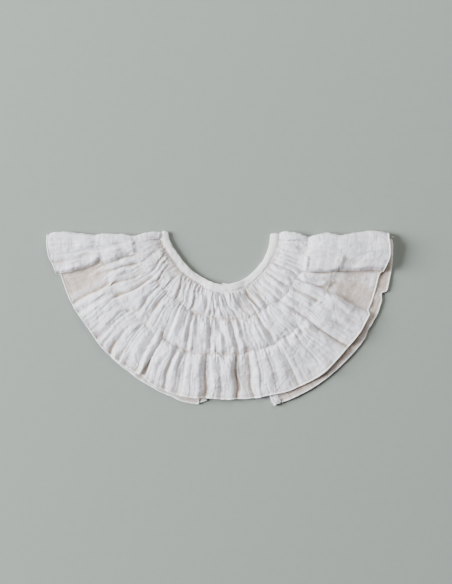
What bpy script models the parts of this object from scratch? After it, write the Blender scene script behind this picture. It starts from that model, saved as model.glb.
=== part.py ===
"""Ruff collar of white double gauze, laid flat and folded in half at the shoulders.

The front half lies on the back half. One long strip is gathered into a narrow neck binding
and drawn in again by two shirring rows, so it stands in three puffed bands. The collar is open
down the centre back, where the two edges spread apart under the front.

Sizes are in millimetres and angles in degrees about the middle of the neck: 180 is the left
shoulder fold, 270 the centre front and 360 the right shoulder fold. make_object() turns the
points into metres. The surface it lies on is z = 0.
"""

import math
from collections import namedtuple

import bpy

# ---- driving sizes -------------------------------------------------------------------------
NECK_CENTRE_X = -0.8
NECK_CENTRE_Y = 84.9
BINDING_WIDTH = 9.0
BINDING_THICKNESS = 1.5
SEAM_GAP = 0.3              # between pieces where a seam joins them
CLOTH = 1.3                 # wall of gathered double gauze
STEEPEST = 1.6              # most that a steep fold deepens the wall, measured straight down
FOLD_RADIUS = 2.6           # roll of the cloth round a shoulder fold
FOLD_DROP = 2.0             # shoulder fold line below the middle of the neck
ROLL_LIFTS = (-90, -50, -12, 22, 58)    # angles of the points round a roll, 0 pointing outwards
ROW_RELIEF = 0.2            # share of a ridge's height left where a row of stitches pins it
PUFF_SHAPE = 0.6            # fullness of a puff between two rows; a smaller number is fuller
RIDGE_SHAPE = 0.8           # fullness of a ridge from its valley up
HEM_SWELL = 0.32            # share of the third band in which its ridges rise to full height
HEM_SETTLE = 0.28           # share of their height that they lose again by the hem
FLANK = 6.0                 # a ridge reaches its full height this far from its valley
NARROW_RIDGE = 8.0          # a ridge narrower than this stands lower
FINE_RIDGE = 5.0            # and one narrower than this has a single column of points
HEM_DROP = 1.1              # front hem lies this much lower than the rows
OPENING_DROP = 3.6          # where the back is open, the front hem sinks to the surface
OPENING_RAMP = 9.0          # distance in which it sinks, in from each edge of the opening
SEAM_RISE = 0.4             # share of the first band in which it rises from the binding
BACK_THICKNESS = 2.2        # hidden layers of the back half, under the rows
BACK_BULGE = 0.6            # and how much thicker they are between the rows
BACK_SEAM_THICKNESS = 1.2   # beside the binding
BACK_HEM_THICKNESS = 1.5    # beyond a line HEM_OVERLAP inside the front hem
HEM_OVERLAP = 12.0
BACK_STEP = 9.0             # distance in which the back changes thickness
BACK_COLUMNS = 26
OPENING_HEM_WIDTH = 8.0
OPENING_HEM_THICKNESS = 2.0
SETTLE_STEPS = 4            # tries at a point whose angle and radius depend on each other
SNAP_DEG = 277.6            # middle of the lapped ends
SNAP_RADIUS = 3.5
SNAP_THICKNESS = 0.9

Mark = namedtuple("Mark", "deg radius")
Shoulder = namedtuple("Shoulder", "radius left right")
Fold = namedtuple("Fold", "inner_deg outer_deg inner_mm outer_mm crest_mm")
Band = namedtuple("Band", "name inner outer left_mm right_mm stations folds")

# ---- rows and hems, as radius at an angle --------------------------------------------------
NECK_EDGE = (
    Mark(180, 50.8), Mark(187, 50.3), Mark(195, 48.2), Mark(203, 46.4), Mark(212, 45.4), Mark(225, 45.0),
    Mark(240, 45.6), Mark(250, 46.6), Mark(258, 48.0), Mark(266, 49.8), Mark(275, 51.0),
    Mark(285, 51.5), Mark(300, 51.6), Mark(315, 51.3), Mark(330, 51.0), Mark(345, 51.3), Mark(360, 51.5),
)
BINDING_SEAM = tuple(Mark(deg, radius + BINDING_WIDTH + SEAM_GAP) for deg, radius in NECK_EDGE)
SHIRRING_1 = (
    Mark(180, 86), Mark(195, 85), Mark(212, 82), Mark(235, 81), Mark(256, 84), Mark(277, 86.5),
    Mark(290, 88), Mark(307, 89), Mark(325, 89), Mark(340, 88), Mark(360, 89.5),
)
SHIRRING_2 = (
    Mark(180, 124), Mark(205, 122), Mark(234, 119.5), Mark(262, 120), Mark(280, 121),
    Mark(297, 122.5), Mark(327, 122.5), Mark(340, 121), Mark(360, 122),
)
FRONT_HEM = (
    Mark(180, 171), Mark(183, 172), Mark(187, 171.3), Mark(190.5, 168.4), Mark(193.4, 167),
    Mark(194.4, 163), Mark(203, 162.5), Mark(216, 160.5), Mark(225, 162.6), Mark(234, 162),
    Mark(241.5, 160.4), Mark(248, 163), Mark(255, 163.5), Mark(266, 163.2), Mark(275, 165.5),
    Mark(285, 168), Mark(296, 171), Mark(306, 173), Mark(318, 170), Mark(325, 171.2),
    Mark(331.5, 170.6), Mark(333, 167.3), Mark(345.5, 165), Mark(347.8, 168.5),
    Mark(353, 171.7), Mark(360, 169),
)
BACK_HEM = (
    Mark(180, 166), Mark(192, 163), Mark(205, 158), Mark(224, 158), Mark(230, 163.3),
    Mark(236, 163.8), Mark(243, 166.5), Mark(253, 169.4), Mark(258, 171.8), Mark(263, 171.6),
    Mark(266.5, 167.4), Mark(286.5, 178.7), Mark(288, 181.2), Mark(290, 179.3),
    Mark(302, 179.6), Mark(316, 178.9), Mark(323.5, 179.1), Mark(328, 176.8),
    Mark(333, 177.1), Mark(337, 175.8), Mark(340.3, 172.6), Mark(341.2, 176.9),
    Mark(346.5, 175.9), Mark(355, 174.2), Mark(360, 172),
)
# Straight edges of the centre-back opening, as distances right of the middle at a radius.
OpeningEdge = namedtuple("OpeningEdge", "radius left_mm right_mm")
OPENING_TOP = OpeningEdge(60.0, 2.6, 3.4)
OPENING_HEM = OpeningEdge(182.0, -13.5, 55.7)

# The binding, layer by layer: angle, height of its middle and how far it shifts to the neck.
Stop = namedtuple("Stop", "deg middle_z inset")      # along the binding, on one layer
BACK_LEFT = (Stop(180.0, 0.75, 0.0), Stop(282.6, 0.75, 0.0))
FRONT_LAYER = (
    Stop(180, 2.55, 0), Stop(246, 2.55, 0), Stop(264, 5.6, 0), Stop(285, 5.6, 0),
    Stop(303, 2.55, 0), Stop(360, 2.55, 0),
)
BACK_RIGHT = (Stop(272.7, 3.8, 1.7), Stop(284, 3.8, 0.4), Stop(297, 0.75, 0.0), Stop(360, 0.75, 0.0))

# How far the puffs swell past the shoulder fold line, left and right.
SHOULDERS = (
    Shoulder(61, 4.6, 3.0), Shoulder(66, 5.2, 4.6), Shoulder(73, 4.2, 4.4), Shoulder(80, 1.8, 3.2),
    Shoulder(86, -0.6, 1.2), Shoulder(91, 1.2, -1.1), Shoulder(97, 2.2, 1.6), Shoulder(109, 2.6, 3.8),
    Shoulder(117, 2.4, 2.6), Shoulder(123, 0.8, 0.4), Shoulder(129, 1.6, 2.4), Shoulder(137, 3.0, 4.0),
    Shoulder(151, 3.4, 5.2), Shoulder(163, 2.6, 3.8), Shoulder(172, -0.6, 2.2),
)

# ---- gathers of the front half -------------------------------------------------------------
# A row is one valley: its angle and depth at the band's inner and outer edge, and the height of
# the ridge that follows it.
FOLDS_1 = (
    Fold(187.5, 191.0, 1.9, 2.2, 3.2), Fold(191.5, 202.0, 2.2, 2.2, 3.4), Fold(197.0, 208.5, 2.4, 2.0, 2.6),
    Fold(204.5, 212.5, 1.6, 0.8, 3.0), Fold(211.7, 217.0, 2.0, 1.8, 2.4), Fold(216.5, 221.0, 1.2, 0.7, 2.6),
    Fold(221.0, 225.0, 1.6, 2.0, 2.6), Fold(225.5, 230.0, 1.4, 0.8, 3.0), Fold(230.7, 239.0, 2.2, 2.4, 2.4),
    Fold(236.5, 243.0, 1.1, 0.8, 2.4), Fold(241.0, 246.5, 1.3, 1.1, 2.8), Fold(246.0, 250.0, 2.0, 2.2, 2.2),
    Fold(250.7, 253.2, 1.5, 0.6, 2.4), Fold(255.0, 256.6, 1.7, 2.1, 2.8), Fold(260.0, 263.6, 1.0, 1.8, 2.6),
    Fold(265.0, 268.5, 1.2, 2.5, 2.6), Fold(269.3, 273.6, 1.5, 2.0, 2.6), Fold(273.3, 279.8, 1.7, 2.3, 2.6),
    Fold(278.2, 285.6, 2.2, 2.3, 2.4), Fold(283.6, 289.4, 1.4, 1.6, 2.2), Fold(287.8, 292.2, 1.6, 1.3, 2.0),
    Fold(291.8, 295.0, 1.0, 1.4, 2.4), Fold(295.4, 298.6, 1.7, 2.2, 3.0), Fold(299.8, 303.8, 1.2, 1.9, 2.8),
    Fold(304.6, 308.0, 1.6, 1.2, 2.6), Fold(309.8, 312.2, 1.2, 1.7, 2.6), Fold(315.3, 317.2, 1.3, 1.6, 2.8),
    Fold(321.4, 322.0, 1.9, 1.8, 2.6), Fold(326.4, 327.6, 1.6, 1.5, 2.6), Fold(331.4, 331.6, 1.9, 1.4, 2.4),
    Fold(335.6, 335.4, 1.2, 1.4, 2.4), Fold(339.2, 338.8, 1.4, 2.1, 2.4), Fold(343.4, 342.0, 1.6, 1.6, 2.6),
    Fold(347.3, 345.8, 1.9, 1.6, 2.8), Fold(351.0, 350.6, 1.3, 1.8, 3.0), Fold(354.3, 355.4, 1.2, 1.2, 3.4),
)
FOLDS_2 = (
    Fold(191.0, 192.6, 3.0, 3.6, 3.2), Fold(198.5, 198.4, 2.8, 2.6, 3.4), Fold(203.0, 203.4, 1.4, 0.8, 3.0),
    Fold(207.2, 206.6, 2.1, 1.7, 3.2), Fold(212.3, 211.6, 2.7, 2.5, 4.2), Fold(216.8, 216.6, 1.2, 1.0, 4.0),
    Fold(221.6, 223.4, 2.8, 2.6, 3.8), Fold(228.0, 229.7, 2.8, 2.4, 3.6), Fold(234.0, 236.4, 1.7, 1.0, 3.6),
    Fold(238.2, 241.6, 1.0, 2.6, 3.2), Fold(242.4, 246.6, 2.6, 2.6, 3.8), Fold(247.4, 250.0, 1.2, 0.8, 3.8),
    Fold(251.8, 253.6, 2.8, 2.6, 3.2), Fold(256.6, 258.4, 2.0, 0.9, 3.8), Fold(262.0, 264.2, 2.8, 3.0, 3.2),
    Fold(266.3, 268.4, 1.4, 2.4, 3.6), Fold(270.8, 273.4, 2.0, 1.2, 4.0), Fold(275.8, 278.3, 3.0, 3.6, 4.0),
    Fold(281.8, 283.6, 2.1, 1.4, 3.6), Fold(287.2, 288.6, 1.7, 1.1, 4.0), Fold(295.2, 296.7, 2.6, 2.1, 3.2),
    Fold(302.4, 303.6, 1.7, 0.9, 3.4), Fold(308.6, 310.2, 1.5, 1.1, 3.6), Fold(313.6, 316.2, 1.6, 2.4, 3.2),
    Fold(318.6, 321.2, 1.5, 1.1, 3.4), Fold(323.6, 327.0, 2.2, 2.6, 3.2), Fold(329.9, 333.4, 2.6, 3.0, 3.4),
    Fold(335.4, 338.0, 2.4, 2.0, 2.4), Fold(341.0, 342.3, 2.4, 2.6, 5.4), Fold(347.0, 348.0, 1.8, 0.9, 5.0),
    Fold(353.6, 354.8, 1.5, 0.8, 5.4),
)
FOLDS_3 = (
    Fold(187.8, 187.0, 1.7, 0.5, 6.0), Fold(193.4, 194.0, 2.0, 2.2, 2.4), Fold(198.6, 199.6, 1.2, 0.7, 4.2),
    Fold(203.8, 204.6, 2.4, 3.0, 4.2), Fold(208.8, 209.6, 1.5, 1.6, 4.4), Fold(214.0, 215.4, 1.6, 0.9, 4.4),
    Fold(219.2, 220.4, 1.7, 1.7, 4.2), Fold(224.4, 225.6, 1.4, 2.5, 4.4), Fold(229.0, 230.0, 2.2, 1.3, 4.0),
    Fold(233.0, 234.6, 1.3, 1.7, 4.0), Fold(237.0, 238.2, 2.4, 1.0, 4.6), Fold(242.0, 241.7, 3.2, 4.4, 5.0),
    Fold(246.0, 246.2, 1.2, 0.8, 4.6), Fold(250.2, 250.8, 2.2, 2.4, 4.2), Fold(254.6, 255.2, 1.7, 2.2, 4.6),
    Fold(259.2, 260.0, 1.3, 1.2, 4.8), Fold(264.0, 264.8, 3.4, 3.4, 4.2), Fold(270.2, 270.6, 1.5, 2.0, 5.0),
    Fold(278.2, 276.3, 4.2, 4.6, 4.8), Fold(283.4, 281.7, 2.8, 2.4, 4.6), Fold(288.2, 286.6, 1.3, 1.1, 4.6),
    Fold(294.0, 291.6, 2.1, 1.3, 4.2), Fold(297.2, 297.4, 1.8, 2.0, 4.4), Fold(302.4, 304.0, 2.1, 1.2, 4.6),
    Fold(309.8, 311.2, 2.3, 1.6, 4.6), Fold(316.2, 318.8, 2.8, 3.4, 4.4), Fold(322.4, 324.6, 1.3, 1.2, 4.4),
    Fold(327.8, 328.8, 1.7, 0.9, 4.6), Fold(333.0, 332.8, 2.2, 2.4, 2.6), Fold(337.6, 338.6, 2.0, 0.8, 2.6),
    Fold(341.8, 347.3, 2.2, 2.5, 6.0), Fold(351.0, 353.6, 1.3, 0.4, 5.8),
)
BAND_1 = Band("frill_band_1_front", BINDING_SEAM, SHIRRING_1, 4.6, 4.4, (0, 0.16, 0.4, 0.65, 0.87, 1), FOLDS_1)
BAND_2 = Band("frill_band_2_front", SHIRRING_1, SHIRRING_2, 5.2, 5.2, (0, 0.12, 0.35, 0.65, 0.88, 1), FOLDS_2)
BAND_3 = Band("frill_band_3_front", SHIRRING_2, FRONT_HEM, 6.0, 6.0, (0, 0.1, 0.3, 0.6, 0.85, 1), FOLDS_3)

GAUZE = ("white double gauze", (0.80, 0.79, 0.77), 0.9, 0.0)
BINDING_CLOTH = ("white bias binding", (0.84, 0.83, 0.82), 0.85, 0.0)
SNAP_METAL = ("enamelled press stud", (0.82, 0.82, 0.82), 0.4, 0.6)


# ---- small helpers -------------------------------------------------------------------------
def mix(a, b, share):
    return a + (b - a) * share


def ease(share):
    share = min(1.0, max(0.0, share))
    return share * share * (3.0 - 2.0 * share)


def read(table, place, column=1):
    """Value of a table's column at a place in its first column, eased from row to row."""
    before = table[0]
    for row in table:
        if row[0] >= place:
            span = row[0] - before[0]
            return mix(before[column], row[column], ease((place - before[0]) / span)) if span else row[column]
        before = row
    return before[column]


def flat_point(deg, radius, z):
    turn = math.radians(deg)
    return (NECK_CENTRE_X + radius * math.cos(turn), NECK_CENTRE_Y + radius * math.sin(turn), z)


def make_material(finish):
    name, colour, roughness, metallic = finish
    material = bpy.data.materials.get(name) or bpy.data.materials.new(name)
    material.use_nodes = True
    shader = material.node_tree.nodes["Principled BSDF"]
    shader.inputs["Base Color"].default_value = (*colour, 1.0)
    shader.inputs["Roughness"].default_value = roughness
    shader.inputs["Metallic"].default_value = metallic
    return material


def make_object(name, points, faces, finish):
    mesh = bpy.data.meshes.new(name)
    mesh.from_pydata([tuple(value / 1000.0 for value in point) for point in points], [], faces)
    mesh.materials.append(make_material(finish))
    mesh.shade_smooth()
    mesh.set_sharp_from_angle(angle=math.radians(40))
    thing = bpy.data.objects.new(name, mesh)
    bpy.context.collection.objects.link(thing)
    return thing


def make_wall(name, upper, lower, finish):
    """Closed cloth wall between two grids of points, given as rows that run the same way."""
    rows, columns = len(upper), len(upper[0])
    points = [point for row in upper for point in row] + [point for row in lower for point in row]
    under = rows * columns
    faces = []
    for j in range(rows - 1):
        for i in range(columns - 1):
            a, b = j * columns + i, j * columns + i + 1
            c, d = b + columns, a + columns
            faces.append((d, c, b, a))
            faces.append((under + a, under + b, under + c, under + d))
    rim = [i for i in range(columns)]
    rim += [j * columns + columns - 1 for j in range(1, rows)]
    rim += [(rows - 1) * columns + i for i in range(columns - 2, -1, -1)]
    rim += [j * columns for j in range(rows - 2, 0, -1)]
    for a, b in zip(rim, rim[1:] + rim[:1]):
        faces.append((a, b, under + b, under + a))
    return make_object(name, points, faces, finish)


def opening_angle(radius, side):
    """Angle of the opening's left edge (side -1) or right edge (side 1) at a radius."""
    column = 1 if side < 0 else 2
    share = (radius - OPENING_TOP.radius) / (OPENING_HEM.radius - OPENING_TOP.radius)
    across = mix(OPENING_TOP[column], OPENING_HEM[column], share)
    return 270.0 + math.degrees(math.asin(across / radius))


# ---- the front half ------------------------------------------------------------------------
def opening_distance(deg, radius):
    """How far inside the centre-back opening a point lies; negative over the back panels."""
    left = math.radians(deg - opening_angle(radius, -1)) * radius
    right = math.radians(opening_angle(radius, 1) - deg) * radius
    return min(left, right)


def rest_height(band, deg, radius, share):
    """Height of the front's valleys: level over the back half, down to the surface where it is open."""
    height = 2.0 * FOLD_RADIUS
    if band.name == BAND_1.name:
        seam = read(FRONT_LAYER, deg) + BINDING_THICKNESS / 2 + SEAM_GAP
        return mix(seam, height, ease(share / SEAM_RISE))
    if band.name == BAND_2.name:
        return height
    height -= HEM_DROP * ease(share)
    sink = ease(opening_distance(deg, radius) / OPENING_RAMP) * ease((share - 0.2) / 0.8)
    return height - (OPENING_DROP - HEM_DROP) * sink


def swell(band, share):
    """Share of a ridge's height at a place between the band's two edges."""
    if band.name == BAND_3.name:
        rise = ease(share / HEM_SWELL) * (1.0 - HEM_SETTLE * ease((share - HEM_SWELL) / (1.0 - HEM_SWELL)))
    else:
        rise = (4.0 * share * (1.0 - share)) ** PUFF_SHAPE
    return ROW_RELIEF + (1.0 - ROW_RELIEF) * rise


def valley_angle(band, index, share, radius):
    """Angle of a valley; the first and the last are where the top meets the shoulder rolls."""
    turn = math.degrees(math.asin((FOLD_DROP + FOLD_RADIUS) / radius))
    if index < 0:
        return 180.0 + turn
    if index >= len(band.folds):
        return 360.0 - turn
    fold = band.folds[index]
    return mix(fold.inner_deg, fold.outer_deg, share)


def crest(band, index):
    return band.left_mm if index < 0 else band.folds[index].crest_mm


def valley_rise(band, index, share):
    fold = band.folds[index]
    depth = mix(fold.inner_mm, fold.outer_mm, share)
    return max(0.0, (min(crest(band, index - 1), crest(band, index)) - depth) * swell(band, share))


def column_point(band, index, part, share):
    """Angle, radius and height of the outer face, a part of the way from one valley to the next."""
    radius = mix(read(band.inner, 270), read(band.outer, 270), share)
    for _ in range(SETTLE_STEPS):
        start = valley_angle(band, index, share, radius)
        end = valley_angle(band, index + 1, share, radius)
        deg = mix(start, end, part)
        inner = read(band.inner, deg) + SEAM_GAP / 2
        outer = read(band.outer, deg) - (SEAM_GAP / 2 if band.name != BAND_3.name else 0.0)
        radius = mix(inner, outer, share)
    width = math.radians(end - start) * radius
    height = crest(band, index) * swell(band, share)
    left = valley_rise(band, index, share) if index >= 0 else height
    right = valley_rise(band, index + 1, share) if index + 1 < len(band.folds) else height
    height = max(left, right, height * min(1.0, width / NARROW_RIDGE) ** 0.5)
    valley, away = (left, part) if part < 0.5 else (right, 1.0 - part)
    flank = min(1.0, away * width / min(width / 2, FLANK))
    rise = mix(valley, height, math.sin(math.pi / 2 * flank) ** RIDGE_SHAPE)
    return deg, radius, rest_height(band, deg, radius, share) + rise


def band_parts(band, index):
    """Where the columns stand between two valleys: more of them in a wide ridge."""
    radius = (read(band.inner, 270) + read(band.outer, 270)) / 2
    start = valley_angle(band, index, 0.5, radius)
    end = valley_angle(band, index + 1, 0.5, radius)
    width = math.radians(end - start) * radius
    if width < FINE_RIDGE:
        return (0.0, 0.5)
    far = min(0.5, FLANK / width)
    near = 0.4 * far
    return (0.0, near, 0.5, 1.0 - near) if far > 0.45 else (0.0, near, far, 1.0 - far, 1.0 - near)


def shoulder_section(side, radius, top):
    """Outer and inner points of the cloth as it rolls round a shoulder fold, from below to above."""
    swelling = read(SHOULDERS, radius, 1 if side < 0 else 2)
    centre_y = NECK_CENTRE_Y - FOLD_DROP - FOLD_RADIUS
    outer, inner = [], []
    for lift in ROLL_LIFTS:
        sine, cosine = math.sin(math.radians(lift)), math.cos(math.radians(lift))
        rise = swelling if lift < 0 else mix(swelling, top - 2 * FOLD_RADIUS, sine ** 2)
        for wall, points in ((0.0, outer), (CLOTH, inner)):
            y = centre_y + (FOLD_RADIUS + rise - wall) * cosine
            z = FOLD_RADIUS + (FOLD_RADIUS - wall + (rise if lift > 0 else 0.0)) * sine
            off = y - NECK_CENTRE_Y
            points.append((NECK_CENTRE_X + side * math.sqrt(radius * radius - off * off), y, z))
    return outer, inner


def front_band(band):
    upper, lower = [], []
    columns = [(index, part) for index in range(-1, len(band.folds)) for part in band_parts(band, index)]
    columns.append((len(band.folds) - 1, 1.0))
    for share in band.stations:
        spots = [column_point(band, index, part, share) for index, part in columns]
        row = [flat_point(*spot) for spot in spots]
        below = []
        for i, point in enumerate(row):
            before, after = row[max(0, i - 1)], row[min(len(row) - 1, i + 1)]
            run = math.dist(before[:2], after[:2])
            slope = abs(after[2] - before[2]) / run
            thickness = CLOTH * min(STEEPEST, math.sqrt(1.0 + slope * slope))
            below.append((point[0], point[1], max(0.0, point[2] - thickness)))
        left_out, left_in = shoulder_section(-1, spots[0][1], spots[0][2])
        right_out, right_in = shoulder_section(1, spots[-1][1], spots[-1][2])
        upper.append(left_out + row + right_out[::-1])
        lower.append(left_in + below + right_in[::-1])
    return make_wall(band.name, upper, lower, GAUZE)


# ---- the back half -------------------------------------------------------------------------
def back_height(deg, radius):
    """Top of the hidden layers: rounded between the rows, thin where the hem shows."""
    seam = read(BINDING_SEAM, deg)
    edges = (seam, read(SHIRRING_1, deg), read(SHIRRING_2, deg))
    height = mix(BACK_SEAM_THICKNESS, BACK_THICKNESS, ease((radius - seam) / BACK_STEP))
    for inner, outer in zip(edges, edges[1:]):
        if inner < radius < outer:
            share = (radius - inner) / (outer - inner)
            height += BACK_BULGE * 4.0 * share * (1.0 - share)
    thin = ease((radius - read(FRONT_HEM, deg) + HEM_OVERLAP) / BACK_STEP)
    return mix(height, BACK_HEM_THICKNESS, thin)


def back_panel(name, side):
    """One rounded solid for the hidden layers of a back half, flat where it rests."""
    upper, lower = [], []
    for share in (0.0, 0.12, 0.24, 0.42, 0.58, 0.76, 0.88, 1.0):
        row, below = [], []
        for i in range(BACK_COLUMNS + 1):
            part = i / BACK_COLUMNS
            radius = mix(read(BINDING_SEAM, 270), read(BACK_HEM, 270), share)
            for _ in range(SETTLE_STEPS):
                roll = math.degrees(math.asin((FOLD_DROP + FOLD_RADIUS + SEAM_GAP) / radius))
                hemmed = math.degrees((OPENING_HEM_WIDTH + SEAM_GAP) / radius)
                if side < 0:
                    deg = mix(180.0 + roll, opening_angle(radius, side) - hemmed, part)
                else:
                    deg = mix(opening_angle(radius, side) + hemmed, 360.0 - roll, part)
                radius = mix(read(BINDING_SEAM, deg) + SEAM_GAP / 2, read(BACK_HEM, deg), share)
            row.append(flat_point(deg, radius, back_height(deg, radius)))
            below.append(flat_point(deg, radius, 0.0))
        upper.append(row)
        lower.append(below)
    return make_wall(name, upper, lower, GAUZE)


def opening_hem(name, side):
    """Narrow turned hem down one edge of the centre-back opening."""
    upper, lower = [], []
    for share in (0.0, 0.2, 0.4, 0.6, 0.8, 1.0):
        row, below = [], []
        for inset in (OPENING_HEM_WIDTH, OPENING_HEM_WIDTH / 2, 0.0):
            radius = mix(read(BINDING_SEAM, 270), read(BACK_HEM, 270), share)
            for _ in range(SETTLE_STEPS):
                deg = opening_angle(radius, side) + side * math.degrees(inset / radius)
                radius = mix(read(BINDING_SEAM, deg) + SEAM_GAP / 2, read(BACK_HEM, deg), share)
            edge_round = 0.35 * OPENING_HEM_THICKNESS if inset == 0.0 else 0.0
            row.append(flat_point(deg, radius, OPENING_HEM_THICKNESS - edge_round))
            below.append(flat_point(deg, radius, 0.0))
        upper.append(row if side < 0 else row[::-1])
        lower.append(below if side < 0 else below[::-1])
    return make_wall(name, upper, lower, GAUZE)


# ---- neck binding and its closure ----------------------------------------------------------
BINDING_STEP = 4.0          # degrees from one section of the binding to the next
BINDING_EDGE = 0.45         # rounding of its edges
ROLL_START, ROLL_END = 184.0, 356.0     # where the flat layers meet the rolls at the shoulders
LEFT_FOLD_Y = 0.9           # middle of the binding's roll at each shoulder, above the neck's middle
RIGHT_FOLD_Y = -1.3


def binding_path():
    """Sections of the binding from its left end at the centre back round to its right end:
    middle point, outward direction and the direction its right side faces."""
    path = []

    def lay(deg, stop_table, facing):
        inset = read(stop_table, deg, 2)
        middle = read(NECK_EDGE, deg) + BINDING_WIDTH / 2 - inset
        point = flat_point(deg, middle, read(stop_table, deg, 1))
        turn = math.radians(deg)
        path.append((point, (math.cos(turn), math.sin(turn), 0.0), (0.0, 0.0, facing)))

    def roll(side, centre, lifts):
        low, high = BACK_LEFT[0].middle_z, FRONT_LAYER[0].middle_z
        reach = (high - low) / 2
        for lift in lifts:
            cosine, sine = math.cos(math.radians(lift)), math.sin(math.radians(lift))
            neck = NECK_EDGE[0].radius if side < 0 else NECK_EDGE[-1].radius
            x = NECK_CENTRE_X + side * (neck + BINDING_WIDTH / 2)
            point = (x, NECK_CENTRE_Y + centre + reach * cosine, (low + high) / 2 + reach * sine)
            path.append((point, (float(side), 0.0, 0.0), (0.0, cosine, sine)))

    def run(start, end, stop_table, facing):
        steps = round(abs(end - start) / BINDING_STEP)
        for i in range(steps + 1):
            lay(mix(start, end, i / steps), stop_table, facing)

    run(BACK_LEFT[-1].deg, ROLL_START, BACK_LEFT, -1.0)
    roll(-1, LEFT_FOLD_Y, (-90, -45, 0, 45, 90))
    run(ROLL_START, ROLL_END, FRONT_LAYER, 1.0)
    roll(1, RIGHT_FOLD_Y, (90, 45, 0, -45, -90))
    run(ROLL_END, BACK_RIGHT[0].deg, BACK_RIGHT, -1.0)
    return path


def neck_binding(name):
    """The binding as one folded strip with rounded edges."""
    half_width, half_thick, edge = BINDING_WIDTH / 2, BINDING_THICKNESS / 2, BINDING_EDGE
    section = (
        (-half_width, -half_thick + edge), (-half_width + edge, -half_thick),
        (half_width - edge, -half_thick), (half_width, -half_thick + edge),
        (half_width, half_thick - edge), (half_width - edge, half_thick),
        (-half_width + edge, half_thick), (-half_width, half_thick - edge),
    )
    points, faces = [], []
    path = binding_path()
    for middle, outward, facing in path:
        for across, up in section:
            points.append(tuple(m + across * w + up * f for m, w, f in zip(middle, outward, facing)))
    count = len(section)
    for j in range(len(path) - 1):
        for i in range(count):
            a, b = j * count + i, j * count + (i + 1) % count
            faces.append((a + count, b + count, b, a))
    faces.append(tuple(range(count)))
    faces.append(tuple((len(path) - 1) * count + i for i in range(count - 1, -1, -1)))
    return make_object(name, points, faces, BINDING_CLOTH)


def neck_snap(name):
    """Flat press stud between the lapped ends of the binding."""
    height = BINDING_THICKNESS + SEAM_GAP + SNAP_THICKNESS / 2
    middle = flat_point(SNAP_DEG, read(NECK_EDGE, SNAP_DEG) + BINDING_WIDTH / 2, height)
    bpy.ops.mesh.primitive_cylinder_add(
        vertices=20, radius=SNAP_RADIUS / 1000, depth=SNAP_THICKNESS / 1000,
        location=tuple(value / 1000 for value in middle))
    snap = bpy.context.object
    snap.name = name
    snap.data.materials.append(make_material(SNAP_METAL))
    return snap


def main():
    for thing in list(bpy.data.objects):
        bpy.data.objects.remove(thing, do_unlink=True)
    for band in (BAND_1, BAND_2, BAND_3):
        front_band(band)
    back_panel("frill_back_left", -1)
    back_panel("frill_back_right", 1)
    opening_hem("opening_hem_left", -1)
    opening_hem("opening_hem_right", 1)
    neck_binding("neck_binding")
    neck_snap("neck_snap")


main()
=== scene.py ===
"""Looks of the ruff collar: white double gauze gathered in three tiers, folded in half at the
shoulders and laid flat with its front half on top.

Sizes are in millimetres and angles in degrees about the middle of the neck: 180 is the left
shoulder fold, 270 the centre front and 360 the right shoulder fold. new_mesh() turns the points
into metres. The surface that the collar lies on is z = 0.
"""

import math
from collections import namedtuple

import bpy
import numpy as np
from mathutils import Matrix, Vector

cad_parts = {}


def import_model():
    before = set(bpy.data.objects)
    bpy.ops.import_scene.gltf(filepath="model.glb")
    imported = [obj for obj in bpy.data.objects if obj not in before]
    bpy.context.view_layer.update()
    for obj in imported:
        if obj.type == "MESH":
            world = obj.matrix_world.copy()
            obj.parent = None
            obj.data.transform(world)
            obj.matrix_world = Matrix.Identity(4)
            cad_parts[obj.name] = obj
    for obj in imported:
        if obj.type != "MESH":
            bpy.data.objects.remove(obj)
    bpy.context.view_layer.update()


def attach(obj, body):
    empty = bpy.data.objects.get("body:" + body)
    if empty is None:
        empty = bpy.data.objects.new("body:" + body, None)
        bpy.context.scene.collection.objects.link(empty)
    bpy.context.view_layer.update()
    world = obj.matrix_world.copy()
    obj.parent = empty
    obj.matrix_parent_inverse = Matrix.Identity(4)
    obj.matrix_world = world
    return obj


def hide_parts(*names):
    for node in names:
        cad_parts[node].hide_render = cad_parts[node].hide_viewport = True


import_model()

# ---- driving sizes -------------------------------------------------------------------------
NECK_CENTRE = (-0.8, 84.9)
LEFT_FOLD, CENTRE_FRONT, RIGHT_FOLD = 180.0, 270.0, 360.0
TOP_START, TOP_END = 183.0, 357.0   # between these the front lies clear of the shoulder rolls
BINDING_WIDTH = 9.0
BINDING_THICKNESS = 1.5
SEAM_GAP = 0.3              # between two pieces at a seam
GAUZE_THICKNESS = 0.8       # both layers of the gauze together
FOLD_RADIUS = 2.6           # roll of the cloth round a shoulder fold
FOLD_DROP = 2.0             # shoulder fold line below the middle of the neck
ROLL_COLUMNS = 24           # lines of points round a shoulder roll
ROUND_RADIUS = 100.0        # distances round the neck are those on a circle of this radius
FLANK = 7.0                 # a ridge reaches its full height this far from its valley
NARROW_RIDGE = 8.0          # a ridge narrower than this stands lower
CREST_GAIN = 1.15           # how much higher a ridge stands than its table says
CREST_VARIES = 0.3          # share by which it rises and falls along its length
PEAKS = (0.32, 0.68)        # part of its width in which a ridge is highest
LEAN_MM = 0.6               # how far it may lean over where its table doesn't say
FOLD_GAIN = 1.05            # how much deeper a main valley lies than its table says
MAIN_DEPTH = 2.6            # a valley this deep in the tables is a main one; lesser ones stay fainter
WANDER_MM = 0.9             # how far a valley strays to either side
CREASE_SPACING = 3.6        # of the lesser creases down a ridge
BROAD_MM = 8.0              # a dent wider than this has a flat floor
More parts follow.
